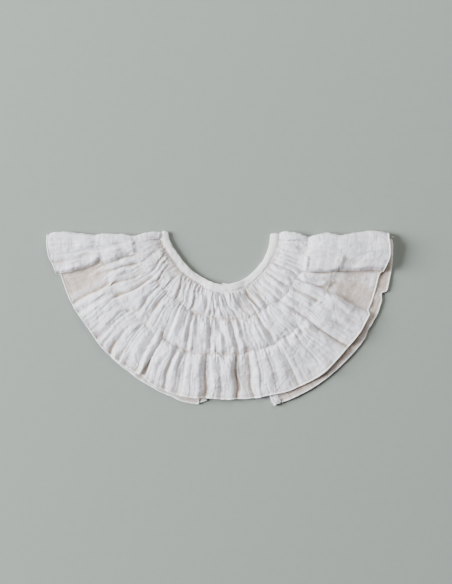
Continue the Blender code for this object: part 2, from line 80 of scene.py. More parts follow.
# Gathering: how the rows of stitches shape the tiers.
ROW_RELIEF = 0.5            # share of a ridge's height left where a row of stitches pins it
ROW_REACH = 5.0             # distance in which two tiers settle to one height at their row
ROW_DIP = 0.32              # depth to which the stitches of a row pull the cloth in
ROW_HOLLOW = 0.9            # depth of the wider hollow that the puffs leave along a row
SCALLOP_REACH = 7.0         # how far from a row its scallops show
PUFF_SHAPE = 0.72           # fullness of a puff between two rows; a smaller number is fuller
PUFF_START = 0.5            # the same where the second tier starts, on average
HEM_START = 0.9             # and where the third one does
START_VARIES = 0.6          # share by which both of these vary from puff to puff
HEM_SWELL = 0.24            # share of the third tier in which its ridges rise to full height
GATHER_PITCH = (1.9, 2.6, 2.9)      # fine gathers at the neck seam, row 1 and row 2
GATHER_DEPTH = 1.7          # at their line, dying out from it
GATHER_REACH = (5.0, 7.0)   # distance in which they die out towards the neck and outwards
REACH_VARIES = 3.4          # and how far that distance strays
PRESSED = 0.55              # share of their depth that the stitches of a row press flat
RELIEF_DEPTH = 1.2          # no fine relief goes deeper than this
SEAM_RISE = 0.4             # share of the first tier in which it rises from the binding
NECK_RISE = 0.35            # share of a ridge's height at the neck seam on the left
NECK_RAMP = 20.0            # distance in which it reaches its full height there
SEAM_ALLOWANCE = 0.6        # a tier's inner edge is tucked this far under what it is sewn to
SEAM_STEP = 0.25            # and lies this much lower there, or less where its line hardly shows
# How the front hem lies.
HEM_DROP = 3.4              # front hem lies this much lower than the rows
OPENING_DROP = 4.0          # where the back is open, the front hem sinks to the surface
OPENING_RAMP = 9.0          # distance in which it sinks, in from each edge of the opening
# The back half.
BACK_THICKNESS = 2.2        # of its hidden layers together
BACK_BULGE = 0.6            # thicker by this much halfway between two rows
BACK_SEAM_THICKNESS = 1.2
BACK_HEM_THICKNESS = 1.7
HEM_OVERLAP = 12.0          # how far under the front hem the back grows thin
BACK_STEP = 9.0             # distance in which its thickness changes
BACK_LIFT = 0.6             # the back hem stands up this much where it shows
BACK_GAP = 0.3              # least gap between the front cloth and the back half
BACK_PITCH = (3.4, 4.2, 5.0)            # of the gathers in its three bands
BACK_VALLEY = 0.75          # depth of those gathers on its underside
BACK_ROW_DIP = 0.7          # and of its rows of stitches there
BACK_LEAST = 0.6            # the cloth stays at least this thick between both
OPENING_HEM_WIDTH = 8.0
OPENING_HEM_THICKNESS = 2.0
BACK_ROWS, BACK_COLUMNS = 120, 240      # cells of a back half's grid
OPENING_HEM_COLUMNS = 16
CORNER_RADIUS = 168.0       # from here on the opening hems thicken towards their lower corners
LEFT_BULK, RIGHT_BULK = 0.3, 1.2        # and by this much
CORNER_LOBES = 1.6          # depth of the scallops at the right hem's end
HEM_STITCHED = 0.35         # depth of the stitch line along an opening hem
# Sewing.
OVERLOCK_PITCH = 1.3        # from one wrap of thread to the next along the rolled hem
ROLLED_WIDTH, ROLLED_HEIGHT = 1.7, 1.5
WRAP_RELIEF, ROLL_VARIES = 0.12, 0.2    # shares of its size by which it is ribbed and uneven
STITCH, STITCH_GAP = 2.4, 0.7           # length of a stitch and of the gap after it
THREAD_RADIUS = 0.2
STITCH_SUNK, STITCH_ARCH = 0.12, 0.32   # how deep its ends lie and how far its middle rises from them
FRAYED_THREADS, FRAYED_RADIUS = 110, 0.24
BINDING_STEP = 1.2          # from one section of the binding to the next
BINDING_ROLLS = 4.0         # degrees before each shoulder where the binding starts to roll
LEFT_ROLL_Y, RIGHT_ROLL_Y = 0.9, -1.3       # middle of each roll of the binding
NECK_MM_PER_DEGREE = 0.95   # along the middle of the binding
BINDING_POINTS = 27         # over the top of one section
PUCKER, WAVER = 0.3, 0.4    # height of its puckers, and how far its neck edge strays

# Angles at which the left side gives way to the rest, and the degrees that it takes.
Turn = namedtuple("Turn", "deg over")
NECK_LIFTS = Turn(225.0, 25.0)          # the first tier stops lying flat at the neck
STRAYING_ENDS = Turn(245.0, 20.0)       # the cloth strays less
PAINTED_SHADE_WEAKENS = Turn(248.0, 20.0)         # the painted shade in the hollows grows weaker
HEM_SHADE_STARTS = Turn(205.0, 25.0)       # painted shade starts in the groove along the hem
HEM_FILLS = Turn(190.0, 35.0)           # the rolled hem grows fuller

Mark = namedtuple("Mark", "deg radius")
Share = namedtuple("Share", "deg share")
Fold = namedtuple(
    "Fold", "inner_deg outer_deg inner_mm outer_mm crest_mm bow_deg lean_mm", defaults=(0.0, 0.0))
Tier = namedtuple("Tier", "name node inner outer left_mm right_mm cell rows s_bend flat folds")
Surface = namedtuple("Surface", "deg radius height rise")


def rows_of(kind, *rows):
    """Table whose rows have named columns."""
    return tuple(kind(*row) for row in rows)


# ---- rows and hems, as radius at an angle --------------------------------------------------
NECK_EDGE = rows_of(
    Mark, (180, 50.8), (187, 50.3), (195, 48.2), (203, 46.4), (212, 45.4), (225, 45), (240, 45.6),
    (250, 46.6), (258, 48), (266, 49.8), (275, 51), (285, 51.5), (300, 51.6), (315, 51.3), (330, 51),
    (345, 51.3), (360, 51.5))
BINDING_SEAM = tuple(Mark(deg, radius + BINDING_WIDTH + SEAM_GAP) for deg, radius in NECK_EDGE)
# How far the first tier's gathers stand in over that seam on the left, and the line they reach.
OVERLAP = rows_of(
    Mark, (180, 0.3), (186, 0.3), (195, 0.4), (205, 0.6), (222, 0.7), (240, 0.7), (252, 0.6), (264, 0.4),
    (274, 0), (360, 0))
GATHER_EDGE = tuple(
    Mark(float(deg), float(np.interp(deg, *zip(*BINDING_SEAM)) - np.interp(deg, *zip(*OVERLAP))))
    for deg in range(180, 361, 5))
ROW_1 = rows_of(
    Mark, (180, 86), (195, 85), (212, 82), (235, 81), (256, 84), (277, 86.5), (290, 88), (307, 89),
    (325, 89), (340, 88), (360, 89.5))
ROW_2 = rows_of(
    Mark, (180, 124), (205, 122), (234, 119.5), (262, 120), (280, 121), (297, 122.5), (327, 122.5),
    (340, 121), (360, 122))
FRONT_HEM = rows_of(
    Mark, (180, 171), (183, 172), (187, 171.3), (190.5, 168.4), (193.4, 167), (194.4, 163), (203, 162.5),
    (216, 160.5), (225, 162.6), (234, 162), (241.5, 160.6), (248, 164.8), (255, 165.6), (260, 165.6),
    (266, 163.9), (275, 165.5), (285, 168), (296, 171.8), (306, 173.6), (318, 171.2), (325, 171.6),
    (331.5, 170.6), (333, 167.3), (345.5, 165), (347.8, 168.5), (353, 171.7), (360, 169))
BACK_HEM = rows_of(
    Mark, (180, 166), (192, 163), (205, 158), (224, 158), (230, 163.3), (236, 163.8), (243, 165.8),
    (253, 168.4), (258, 170.9), (262, 171), (266.5, 167), (286.5, 178.7), (288, 181.2), (290, 179.3),
    (302, 179.6), (316, 178.9), (323.5, 179.1), (328, 176.8), (333, 177.1), (337, 175.8), (340.3, 172.6),
    (341.2, 176.9), (346.5, 175.9), (355, 174.2), (360, 172))
# Share of their height that the third tier's ridges lose again by the hem.
HEM_SETTLE = rows_of(
    Share, (180, 0.12), (200, 0.4), (225, 0.45), (240, 0.35), (272, 0.3), (286, 0.5), (300, 0.62),
    (325, 0.62), (337, 0.45), (347, 0.12), (360, 0.05))
# How firmly the second row holds the cloth down: not at all under the big flap of the right wing.
ROW_2_HOLD = rows_of(Share, (180, 0.6), (192, 0.8), (200, 1), (337, 1), (343, 0.12), (360, 0.2))
# How plainly each line of gathering shows along it: the neck seam, then rows 1 and 2.
Show = namedtuple("Show", "deg neck row_1 row_2")
SHOWS = rows_of(
    Show, (180, 0.3, 0.2, 0.35), (187, 0.3, 0.12, 0.25), (196, 0.3, 0.08, 0.15), (222, 0.4, 0.1, 0.2),
    (236, 0.7, 0.2, 0.3), (246, 0.9, 0.45, 0.55), (254, 1, 0.95, 0.95), (270, 1, 1.3, 1.2),
    (286, 0.9, 1.1, 0.7), (302, 0.8, 0.6, 0.6), (314, 0.8, 0.45, 0.25), (325, 0.8, 0.3, 0.15),
    (340, 0.7, 0.4, 0.2), (360, 0.7, 0.6, 0.1))
# Smooth places on the wings, where only long soft lines run along the cloth: middle and half size.
Calm = namedtuple("Calm", "deg radius across_mm along_mm")
CALMS = rows_of(
    Calm, (184, 148, 18, 26), (186.5, 106, 14, 17), (198.5, 148, 11, 24), (350.5, 135, 26, 42),
    (337.5, 145, 12, 26))
# Straight edges of the centre-back opening, as distances right of the middle at a radius.
OpeningEdge = namedtuple("OpeningEdge", "radius left_mm right_mm")
OPENING_TOP = OpeningEdge(60.0, 2.6, 3.4)
OPENING_HEM = OpeningEdge(182.0, -13.5, 55.7)

# The binding, layer by layer: angle, height of its middle and how far it shifts to the neck.
Stop = namedtuple("Stop", "deg middle_z inset")
BACK_LEFT = rows_of(Stop, (180, 0.75, 0), (282.6, 0.75, 0))
FRONT_LAYER = rows_of(
    Stop, (180, 2.55, 0), (193, 3.6, 0), (232, 3.5, 0), (247, 3, 0), (264, 5.6, 0), (285, 5.6, 0),
    (303, 2.55, 0), (360, 2.55, 0))
BACK_RIGHT = rows_of(Stop, (272.7, 3.8, 1.7), (284, 3.8, 0.4), (297, 0.75, 0), (360, 0.75, 0))
# Its line of topstitching, outwards from its middle.
TOPSTITCH = rows_of(
    Mark, (180, 1.8), (275, 2.6), (290, 3), (300, 2.9), (312, 2.7), (322, 2.7), (336, 3), (350, 3.6),
    (360, 3.8))
# Shape of its top round the neck: depth of the topstitched groove, height of its crown and the
# crown's place outwards from the middle, and how square it stands along its outer edge.
Profile = namedtuple("Profile", "places values")
GROOVE = Profile((180, 235, 275, 300, 335, 350, 360), (0.1, 0.15, 0.45, 0.7, 0.6, 0.3, 0.2))
CROWN = Profile((180, 190, 205, 235, 275, 300, 360), (0.5, 0.3, 0.2, 0.2, 0.4, 0.5, 0.5))
CROWN_MIDDLE = Profile(
    (180, 195, 235, 275, 290, 302, 316, 330, 360), (-0.4, -0.7, -0.9, 0.0, 0.8, 0.6, 0.1, 0.0, 0.2))
SQUARENESS = Profile((180, 235, 275, 300, 360), (0.95, 0.95, 0.6, 0.2, 0.2))

# How far the puffs swell past the shoulder fold line, left and right.
Shoulder = namedtuple("Shoulder", "radius left right")
SHOULDERS = rows_of(
    Shoulder, (61, 4.6, 3), (66, 5.2, 4.6), (73, 4.2, 4.4), (80, 1.8, 3.2), (86, -0.6, 1.2),
    (91, 1.2, -1.1), (97, 2.2, 1.6), (109, 2.6, 3.8), (117, 2.4, 2.6), (123, 0.8, 0.4), (129, 1.6, 2.4),
    (137, 3, 4), (151, 3.4, 5.2), (163, 2.6, 3.8), (172, -0.6, 2.2))

# ---- gathers of the front half -------------------------------------------------------------
# A row is one valley: its angle and depth at the tier's inner and outer edge, the height of the
# ridge that follows it, how far the valley bows and how far that ridge leans over.
FOLDS_1 = rows_of(
    Fold, (184.4, 186.6, 0.9, 1, 3, -0.4), (187, 191, 0.8, 1.1, 3.2, -1), (190, 197.4, 0.9, 0.7, 3, -0.8),
    (193.2, 202.4, 1.2, 1.4, 3.2, -0.6), (198.4, 208.5, 2.2, 1.8, 2.6, 2),
    (205.6, 212.5, 1.6, 0.8, 3, 0.8), (211.7, 217, 2, 2, 2.4), (216.5, 221, 1.2, 0.7, 2.6),
    (221.4, 225.4, 1.3, 1.8, 2.6, 0.6), (225.5, 230, 1.3, 0.7, 3, 0.4), (228.2, 236.2, 1.8, 2.1, 2.4, 0.6),
    (236.5, 243, 1, 0.7, 2.4, 0.3), (241, 246.5, 1.2, 1, 2.8, 0.7), (246, 250, 1.8, 1.9, 2.2, 1.1),
    (250.7, 253.2, 1.5, 0.7, 2.4, 0.9), (257.4, 259.6, 1.2, 1.3, 2.8, 1.4),
    (261.4, 265, 0.8, 1.2, 2.6, 0.6), (265, 268.5, 1.3, 2.4, 2.6, -0.4), (269.3, 273.6, 1.5, 2, 2.6),
    (272.4, 278, 1.5, 1.9, 2.6, -0.5), (274.8, 281.8, 2.2, 2.4, 2.4), (284.2, 290, 1.5, 1.6, 2.2, 0.8),
    (287.8, 291.8, 1.2, 1, 2.3), (291.8, 295, 1.4, 1.9, 2.8), (295.4, 298.6, 2.8, 3.2, 3.4, -0.9),
    (300.6, 304.4, 2.2, 3, 3.2, 0.6), (304.6, 308, 2.3, 1.6, 3), (309.8, 312.2, 1.7, 2.3, 3),
    (315.3, 317.2, 1.9, 2.2, 3.2), (321.4, 322, 2.8, 2.4, 3, -0.5), (326.4, 327.6, 2.3, 2, 3),
    (331.4, 331.6, 3.6, 2.5, 2.8), (335.6, 335.4, 2.2, 2.5, 2.8), (339.2, 338.8, 1.9, 2.8, 2.8, 0.4),
    (343.4, 342, 2.3, 2.2, 3), (347.3, 345.8, 2.6, 2.1, 3.2, -0.6), (351, 350.6, 1.9, 2.4, 3.4),
    (354.3, 355.4, 2.2, 2.1, 3.9))
FOLDS_2 = rows_of(
    Fold, (193.6, 195.2, 1.9, 2, 3, 0.4), (199.4, 199.4, 2.3, 2.1, 3.4), (203, 203.4, 1.4, 0.8, 3),
    (207.2, 206.6, 2.1, 1.7, 3.2, -0.6), (212.3, 211.6, 2.9, 2.7, 4.2, 0.6), (216.8, 216.6, 1.2, 1, 4),
    (221.6, 223.4, 1.9, 1.8, 3.8, 0.5), (228.8, 230.5, 2.3, 1.9, 3.6), (234, 236.4, 1.1, 0.7, 3.6, 0.3),
    (238.2, 241.6, 0.9, 2.5, 3.2), (240.9, 244.1, 2.2, 2, 3.8, 0.3), (247.4, 250, 1, 0.6, 3.8),
    (252.6, 254.4, 1.9, 1.8, 3.2), (256.6, 258.4, 1.6, 0.7, 3.8), (263.6, 265.8, 2.3, 2.5, 3.2, 0.4),
    (267.4, 269.4, 1, 1.7, 3.6), (271.2, 273.8, 1.8, 1.4, 4), (276.8, 279.2, 2.5, 2.9, 4, 0.5),
    (281.8, 283.6, 1.8, 1.2, 3.6), (287.2, 288.6, 1.7, 1.1, 4), (295.2, 296.7, 2.8, 2.3, 3.2, 0.4),
    (302.4, 303.6, 1.7, 0.9, 3.4), (308.6, 310.2, 1.5, 1.1, 3.6), (313.6, 316.2, 1.6, 2.4, 3.2),
    (318.6, 321.2, 1.5, 1.1, 3.4), (323.6, 327, 2.2, 2.8, 3.2, -0.3), (329.9, 333.4, 2.7, 3.2, 3.4),
    (333.6, 337.6, 0.9, 1.6, 3.2), (335.2, 341.6, 4.2, 3, 5.6, 0, -0.8),
    (348, 349, 0.8, 0.3, 5.6, 0, -0.4), (353.6, 354.8, 0.7, 0.3, 5.6))
FOLDS_3 = rows_of(
    Fold, (187.6, 187, 0.7, 0.2, 4.7, 0, 1), (192.6, 194.2, 1.9, 1.9, 1.6, 1.3),
    (204.2, 205.6, 2.8, 3.1, 4.2, 0.5), (208.2, 209, 1.4, 1.3, 4.4), (214, 215.4, 1, 0.5, 4.4),
    (219.2, 220.4, 1, 1, 4.2), (226.4, 227.8, 1.4, 2.2, 4.4, -1), (230.4, 231.4, 1.4, 0.8, 4),
    (233, 234.6, 0.8, 1, 4), (237, 238.2, 1.7, 0.7, 4.6, 0.4), (242, 241.7, 2.8, 3.6, 5, -0.4, -1),
    (246, 246.2, 0.6, 0.4, 4.6), (250.2, 250.8, 1.9, 1.9, 4.2, -1), (254.6, 255.2, 1.2, 1.6, 4.6),
    (259.2, 260, 0.7, 0.6, 4.8), (264.2, 265, 3.1, 3.1, 4.2), (270.2, 270.6, 1.5, 2, 5),
    (278.2, 276.3, 4.2, 4.6, 2.6, -0.3, -0.8), (283.6, 282.2, 2.5, 2.4, 3.6, -0.3),
    (288.2, 286.6, 1.1, 0.9, 4.6), (294, 291.6, 1.8, 1.1, 4.2, -0.8), (297.2, 297.4, 1.5, 1.7, 4.4),
    (302.4, 304, 2.1, 1.2, 4.6), (309.8, 311.2, 2.3, 1.6, 4.6), (316.2, 318.8, 3, 3.4, 4.4, -0.5),
    (322.4, 324.6, 1.3, 1.2, 4.4), (327.8, 328.8, 1.7, 0.9, 4.6), (333, 332.8, 1.5, 1.6, 1.6),
    (337.6, 338.6, 1.6, 0.4, 1.6), (341.7, 347.3, 2.9, 2.6, 6, 0, -0.7), (351, 353.6, 0.3, 0.3, 5.8))
TIER_1 = Tier(
    "frill_tier_1", "frill_band_1_front", GATHER_EDGE, ROW_1, 3.6, 3.8, 0.48, 52, 0.8, (0.34, 0.030), FOLDS_1)
TIER_2 = Tier(
    "frill_tier_2", "frill_band_2_front", ROW_1, ROW_2, 4.4, 5.2, 0.5, 68, 0.2, (0.50, 0.038), FOLDS_2)
TIER_3 = Tier(
    "frill_tier_3", "frill_band_3_front", ROW_2, FRONT_HEM, 4.4, 5.6, 0.56, 84, 0.2, (0.64, 0.047), FOLDS_3)
TIERS = (TIER_1, TIER_2, TIER_3)
# How gently a ridge climbs beside a valley of each depth in millimetres.
GENTLENESS = Profile((0.8, 2.4, 4.4), (1.4, 0.85, 0.55))

# Pits and lumps between the folds: place, half width across and along the folds, depth, which is
# less than nothing for a lump, and how much painted shade a pit takes on.
Dent = namedtuple("Dent", "deg radius across_mm along_mm depth_mm tone", defaults=(0.08,))
DENTS = rows_of(
    Dent, (185.4, 104, 3.6, 12, 1.1), (184.5, 143, 5, 9, 0.8), (189, 133, 1.8, 9, 0.6),
    (186.2, 130, 1.6, 8, 0.6), (205, 60.5, 2.2, 2.2, -1), (201.5, 62.5, 1.1, 1.4, 0.7),
    (208, 63, 1.2, 1.6, 0.7), (251, 60, 1.4, 3, 0.9), (254.6, 61, 0.9, 4, 0.7), (264, 80, 1.8, 3, 1.3),
    (268.5, 77, 2, 3.2, 1.9), (260.8, 76, 1.2, 6, 0.9), (255.5, 89, 1.5, 4, 1.1), (270.5, 92, 1.6, 4, 1.2),
    (282.5, 92, 1.8, 5, 1.1), (345.5, 95, 1.4, 5, 0.8), (302, 126, 1.8, 4, 1.2), (310.4, 128, 2, 3.5, 1.6),
    (335.6, 124.5, 3, 3, 1.1), (328, 84, 1.4, 3, 1.1), (220, 120, 1.5, 3, 1.1), (206, 114, 1.6, 7, 1),
    (241.6, 156, 1.6, 8, 1.4), (277, 156, 1.8, 9, 1.2), (264.6, 157, 1.7, 8, 0.9), (230, 125, 1.6, 4, 1),
    (289, 100, 1.8, 8, 0.8), (299, 96, 1.6, 5, 0.9), (315, 107, 1.8, 8, 0.7), (294, 116, 2.4, 4, -0.7),
    (322, 112, 3, 5, -0.8), (246, 128, 2, 4, -0.7), (279, 148, 6, 16, 1.6),
    (198.5, 148, 10, 24, 1.3, 0.62), (337.5, 145, 11, 25, 1.4, 0.37), (292, 74, 12, 9, 0.9, 0.25),
    (302, 72, 9, 8, 0.7, 0.2), (190.6, 149, 1.3, 20, -0.6), (188.6, 108, 1.3, 14, -0.5),
    (341.5, 150, 1.2, 14, -0.4), (348.2, 139, 5.5, 28, 1.3, 0.2), (358, 140, 3, 30, 0.5, 0.2),
    (353.9, 140, 4.5, 32, -0.8), (190.3, 147, 4.2, 24, 1, 0.22), (182.2, 150, 2.2, 22, 0.5, 0.2),
    (187.4, 150, 1, 20, 0.35, 0.1), (343.2, 143, 5, 20, 0.8), (208.6, 143, 3, 12, 0.7),
    (249.6, 143, 2.2, 9, 0.8), (255, 143, 4, 12, 0.8), (265.8, 143, 3.2, 14, 0.9),
    (283.4, 143, 4, 14, 0.6), (293.5, 143, 4.5, 12, 0.7), (224.8, 72, 1.6, 8, 0.3), (303.8, 72, 2, 8, 0.7),
    (197, 143, 4, 16, 0.7), (353, 168, 22, 24, -1.6), (184, 172, 16, 26, -2.1), (216, 104, 3, 6, -0.9),
    (349.5, 128, 1.2, 9, 0.5), (353.5, 108, 5, 9, -0.8), (348, 126.4, 5, 2.2, -0.5))

# Layers of uneven relief: distance between their bumps both ways, height and seed.
Layer = namedtuple("Layer", "across_mm along_mm height_mm seed")
SWELLS = rows_of(Layer, (15, 15, 0.7, 9), (7, 7, 0.3, 8))
LONG_SWELLS = rows_of(Layer, (6, 45, 0.5, 44))
LONG_CREASES = rows_of(Layer, (9, 60, 0.35, 45))
PATCHY_GATHERS = rows_of(Layer, (2, 12, 0.28, 11))
CRUMPLE = rows_of(Layer, (3.4, 3.4, 0.14, 12), (1.5, 1.5, 0.07, 13))
CREASES = rows_of(Layer, (9, 9, 0.3, 41), (5, 5, 0.18, 42))
BACK_WAVES = rows_of(Layer, (6.5, 40, 0.6, 7), (2.3, 18, 0.25, 8))
HEM_BUMPS = rows_of(Layer, (3, 5, 0.14, 50), (1.2, 1.6, 0.07, 60))
BINDING_RUMPLE = rows_of(Layer, (6, 4, 0.25, 32), (2.2, 2, 0.2, 34))
# How the cloth strays over the surface, sideways and outwards, and how the puffs push the rows.
SIDEWAYS = rows_of(Layer, (17, 17, 1.5, 71), (8, 8, 0.45, 72))
OUTWARDS = rows_of(Layer, (16, 16, 1.9, 73), (7, 7, 0.5, 74))
SCALLOPS = rows_of(Layer, (3.3, 3.3, 1.1, 75))
# Hollows, which take painted shade: reach over which the surface is levelled in cells, and depth
# below that level that gives the full painted shade.
Hollow = namedtuple("Hollow", "reach depth_mm")
HOLLOWS = rows_of(Hollow, (3, 0.7), (10, 2), (26, 2.6))
HOLLOW_PAINTED_SHADE = 0.4           # share of the full painted shade that each of them gives
ROW_PAINTED_SHADE = 0.32             # and the painted shade that the rows and the hem's groove give
HEM_PAINTED_SHADE = 0.35
BETWEEN_ROWS = 104.0        # radius that lies between rows 1 and 2 all round


# ---- small helpers -------------------------------------------------------------------------
def mix(a, b, share):
    """Value this share of the way from a to b."""
    return a + (b - a) * share


def ease(share):
    """Share from 0 to 1 that starts and ends gently."""
    share = np.clip(share, 0.0, 1.0)
    return share * share * (3.0 - 2.0 * share)


def past(deg, turn):
    """0 up to a turn, easing to 1 past it."""
    return ease((deg - turn.deg) / turn.over)


def before(deg, turn):
    """1 well before a turn, easing to 0 at it."""
    return ease((turn.deg - deg) / turn.over)


def fade(distance, reach):
    """1 on a line, falling to about a third at this distance from it."""
    return np.exp(-(distance / reach) ** 2)


def unit(vectors):
    """The same directions, each 1 long."""
    return vectors / np.maximum(np.linalg.norm(vectors, axis=-1, keepdims=True), 1e-9)


def read(table, where, column=1):
    """Value of a table's column at places in its first column, eased from row to row."""
    rows = np.array([[row[0], row[column]] for row in table], dtype=float)
    where = np.clip(where, rows[0, 0], rows[-1, 0])
    after = np.clip(np.searchsorted(rows[:, 0], where), 1, len(rows) - 1)
    start, end = rows[after - 1], rows[after]
    return mix(start[..., 1], end[..., 1], ease((where - start[..., 0]) / (end[..., 0] - start[..., 0])))


def noise(across, along, seed):
    """Smooth uneven pattern from -1 to 1 whose bumps are one unit apart."""
    size = 512
    grid = np.random.default_rng(seed).uniform(-1.0, 1.0, (size, size))
    i, j = np.floor(across).astype(int), np.floor(along).astype(int)
    u, v = ease(across - i), ease(along - j)
    near = mix(grid[i % size, j % size], grid[(i + 1) % size, j % size], u)
    far = mix(grid[i % size, (j + 1) % size], grid[(i + 1) % size, (j + 1) % size], u)
    return mix(near, far, v)


def creases(x, y, seed):
    """Crisp fine creases in all directions: 0 on the flat places, down to -1 along each crease."""
    bent_x, bent_y = x + noise(x / 2.0, y / 2.0, seed + 50), y + noise(x / 2.0, y / 2.0, seed + 51)
    return -np.clip(1.0 - 5.0 * np.abs(noise(bent_x, bent_y, seed)), 0.0, 1.0)


def gathers(across, along, seed):
    """Drawn-up cloth: rounded ridges at 0 with narrow uneven valleys between them down to -1."""
    return -np.clip(1.0 - 2.4 * np.abs(noise(across, along, seed)), 0.0, 1.0) ** 0.8


def layered(across, along, layers, pattern=noise, seed=0):
    """Layers of one pattern, added up."""
    return sum(
        layer.height_mm * pattern(across / layer.across_mm, along / layer.along_mm, layer.seed + seed)
        for layer in layers)


def place(deg, radius, z):
    """Points from angles, radii and heights."""
    turn = np.radians(deg)
    x, y = NECK_CENTRE[0] + radius * np.cos(turn), NECK_CENTRE[1] + radius * np.sin(turn)
    return np.stack(np.broadcast_arrays(x, y, z), axis=-1)


def past_row(deg, radius):
    """Distance outwards from the nearer row of gathering, less than nothing on its neck side."""
    past_1, past_2 = radius - read(ROW_1, deg), radius - read(ROW_2, deg)
    return np.where(np.abs(past_1) < np.abs(past_2), past_1, past_2)


def grid_normals(points):
    """Unit normals of a grid whose rows run outwards and whose columns run round the neck."""
    return unit(np.cross(np.gradient(points, axis=0), np.gradient(points, axis=1)))


def soften(grid, times):
    """Grid of values with its bumps smoothed along both directions."""
    for _ in range(times):
        wide = np.pad(grid, ((1, 1), (1, 1)) + ((0, 0),) * (grid.ndim - 2), mode="edge")
        beside = wide[:-2, 1:-1] + wide[2:, 1:-1] + wide[1:-1, :-2] + wide[1:-1, 2:]
        grid = (beside + 2 * wide[1:-1, 1:-1]) / 6
    return grid


def spread(grid, cells):
    """Grid of values averaged over squares of this many cells, twice over."""
    for axis in (0, 1, 0, 1):
        pad = [(0, 0), (0, 0)]
        pad[axis] = (cells + 1, cells)
        total = np.cumsum(np.pad(grid, pad, mode="edge"), axis=axis)
        wide = 2 * cells + 1
        grid = (np.take(total, np.arange(wide, total.shape[axis]), axis)
                - np.take(total, np.arange(total.shape[axis] - wide), axis)) / wide
    return grid


def lengths_along(path):
    """Distance of each point of a path from its start."""
    return np.concatenate([[0.0], np.cumsum(np.linalg.norm(np.diff(path, axis=0), axis=1))])


def between(spots, along, rows):
    """Points or directions known at distances along a line, read at other spots on it."""
    return np.stack([np.interp(spots, along, rows[:, i]) for i in range(3)], axis=-1)


def new_mesh(name, points, faces, material, uvs, painted_shade):
    """Object at the origin from points in millimetres, with the cloth's own map and the painted shade of its
    hollows.
    """
    mesh = bpy.data.meshes.new(name)
    mesh.from_pydata((np.asarray(points, dtype=float) / 1000.0).tolist(), [], faces)
    mesh.materials.append(material)
    corner = np.empty(len(mesh.loops), dtype=np.int32)
    mesh.loops.foreach_get("vertex_index", corner)
    cloth_map = mesh.uv_layers.new(name="cloth").data
    cloth_map.foreach_set("uv", (np.asarray(uvs)[corner] / 1000.0).astype(np.float32).ravel())
    tones = mesh.attributes.new("painted_shade", "FLOAT", "POINT").data
    tones.foreach_set("value", np.asarray(painted_shade, dtype=np.float32))
    mesh.shade_smooth()
    mesh.set_sharp_from_angle(angle=math.radians(70))
    thing = bpy.data.objects.new(name, mesh)
    bpy.context.collection.objects.link(thing)
    return thing


def cloth_shell(name, outer, inner, material, uv, painted_shade):
    """Closed thin cloth: a fine outer grid, and an inner grid of every second row and column."""
    rows, columns = outer.shape[:2]
    in_rows, in_columns = inner.shape[:2]
    under = rows * columns
    fine = np.arange(under).reshape(rows, columns)
    coarse = under + np.arange(in_rows * in_columns).reshape(in_rows, in_columns)
    top = np.stack([fine[1:, :-1], fine[1:, 1:], fine[:-1, 1:], fine[:-1, :-1]], axis=-1)
    bottom = np.stack([coarse[:-1, :-1], coarse[:-1, 1:], coarse[1:, 1:], coarse[1:, :-1]], axis=-1)
    faces = top.reshape(-1, 4).tolist() + bottom.reshape(-1, 4).tolist()
    rim, low_rim = (
        np.concatenate([grid[0], grid[1:, -1], grid[-1, -2::-1], grid[-2:0:-1, 0]])
        for grid in (fine, coarse))
    for i, low in enumerate(low_rim):
        a, b, c = (int(rim[(2 * i + step) % len(rim)]) for step in (0, 1, 2))
        faces.append([a, b, c, int(low_rim[(i + 1) % len(low_rim)]), int(low)])
    points = np.concatenate([outer.reshape(-1, 3), inner.reshape(-1, 3)])
    uvs = np.concatenate([uv.reshape(-1, 2), uv[::2, ::2].reshape(-1, 2)])
    tones = np.concatenate([painted_shade.ravel(), painted_shade[::2, ::2].ravel()])
    return new_mesh(name, points, faces, material, uvs, tones)


def ring_faces(first, rings, count):
    """Faces between rings of points one after another, with both ends closed."""
    faces = []
    for start in range(first, first + (rings - 1) * count, count):
        for i in range(count):
            a, b = start + i, start + (i + 1) % count
            faces.append((a, b, b + count, a + count))
    last = first + (rings - 1) * count
    return faces + [tuple(range(first + count - 1, first - 1, -1)), tuple(range(last, last + count))]


def swept(name, path, section, ups, material):
    """Strip or cord of one section carried along a path. ups gives its upper side at each point;
    section(i) gives the points round it there, as distances to its right and up."""
    right = unit(np.cross(np.gradient(path, axis=0), ups))
    rings = [point + np.asarray(section(i)) @ np.stack([right[i], ups[i]]) for i, point in enumerate(path)]
    uvs = np.stack(np.meshgrid(lengths_along(path), lengths_along(rings[0]), indexing="ij"), axis=-1)
    points = np.concatenate(rings)
    faces = ring_faces(0, len(rings), len(rings[0]))
    return new_mesh(name, points, faces, material, uvs.reshape(-1, 2), np.zeros(len(points)))


def thread_bits(name, bits, sides):
    """Short bits of thread as one mesh, each given by its path, its upper sides and its radii."""
    turns = np.radians(np.arange(sides) * 360.0 / sides)[:, None]
    points, faces = [], []
    for path, ups, radii in bits:
        right = unit(np.cross(np.gradient(path, axis=0), ups))
        faces += ring_faces(len(points) * sides, len(path), sides)
        for middle, radius, out, up in zip(path, radii, right, ups):
            points.append(middle + radius * (np.cos(turns) * out + np.sin(turns) * up))
    points = np.concatenate(points)
    return new_mesh(name, points, faces, THREAD, points[:, :2], np.zeros(len(points)))


def opening_angle(radius, side):
    """Angle of the opening's left edge (side -1) or right edge (side 1) at a radius."""
    column = 1 if side < 0 else 2
    share = (radius - OPENING_TOP.radius) / (OPENING_HEM.radius - OPENING_TOP.radius)
    return CENTRE_FRONT + np.degrees(np.arcsin(mix(OPENING_TOP[column], OPENING_HEM[column], share) / radius))


# ---- materials -----------------------------------------------------------------------------
def linear(colour):
    """sRGB hex colour as linear red, green, blue and full alpha."""
    parts = [int(colour[i:i + 2], 16) / 255 for i in (1, 3, 5)]
    return (*(c / 12.92 if c <= 0.04045 else ((c + 0.055) / 1.055) ** 2.4 for c in parts), 1.0)


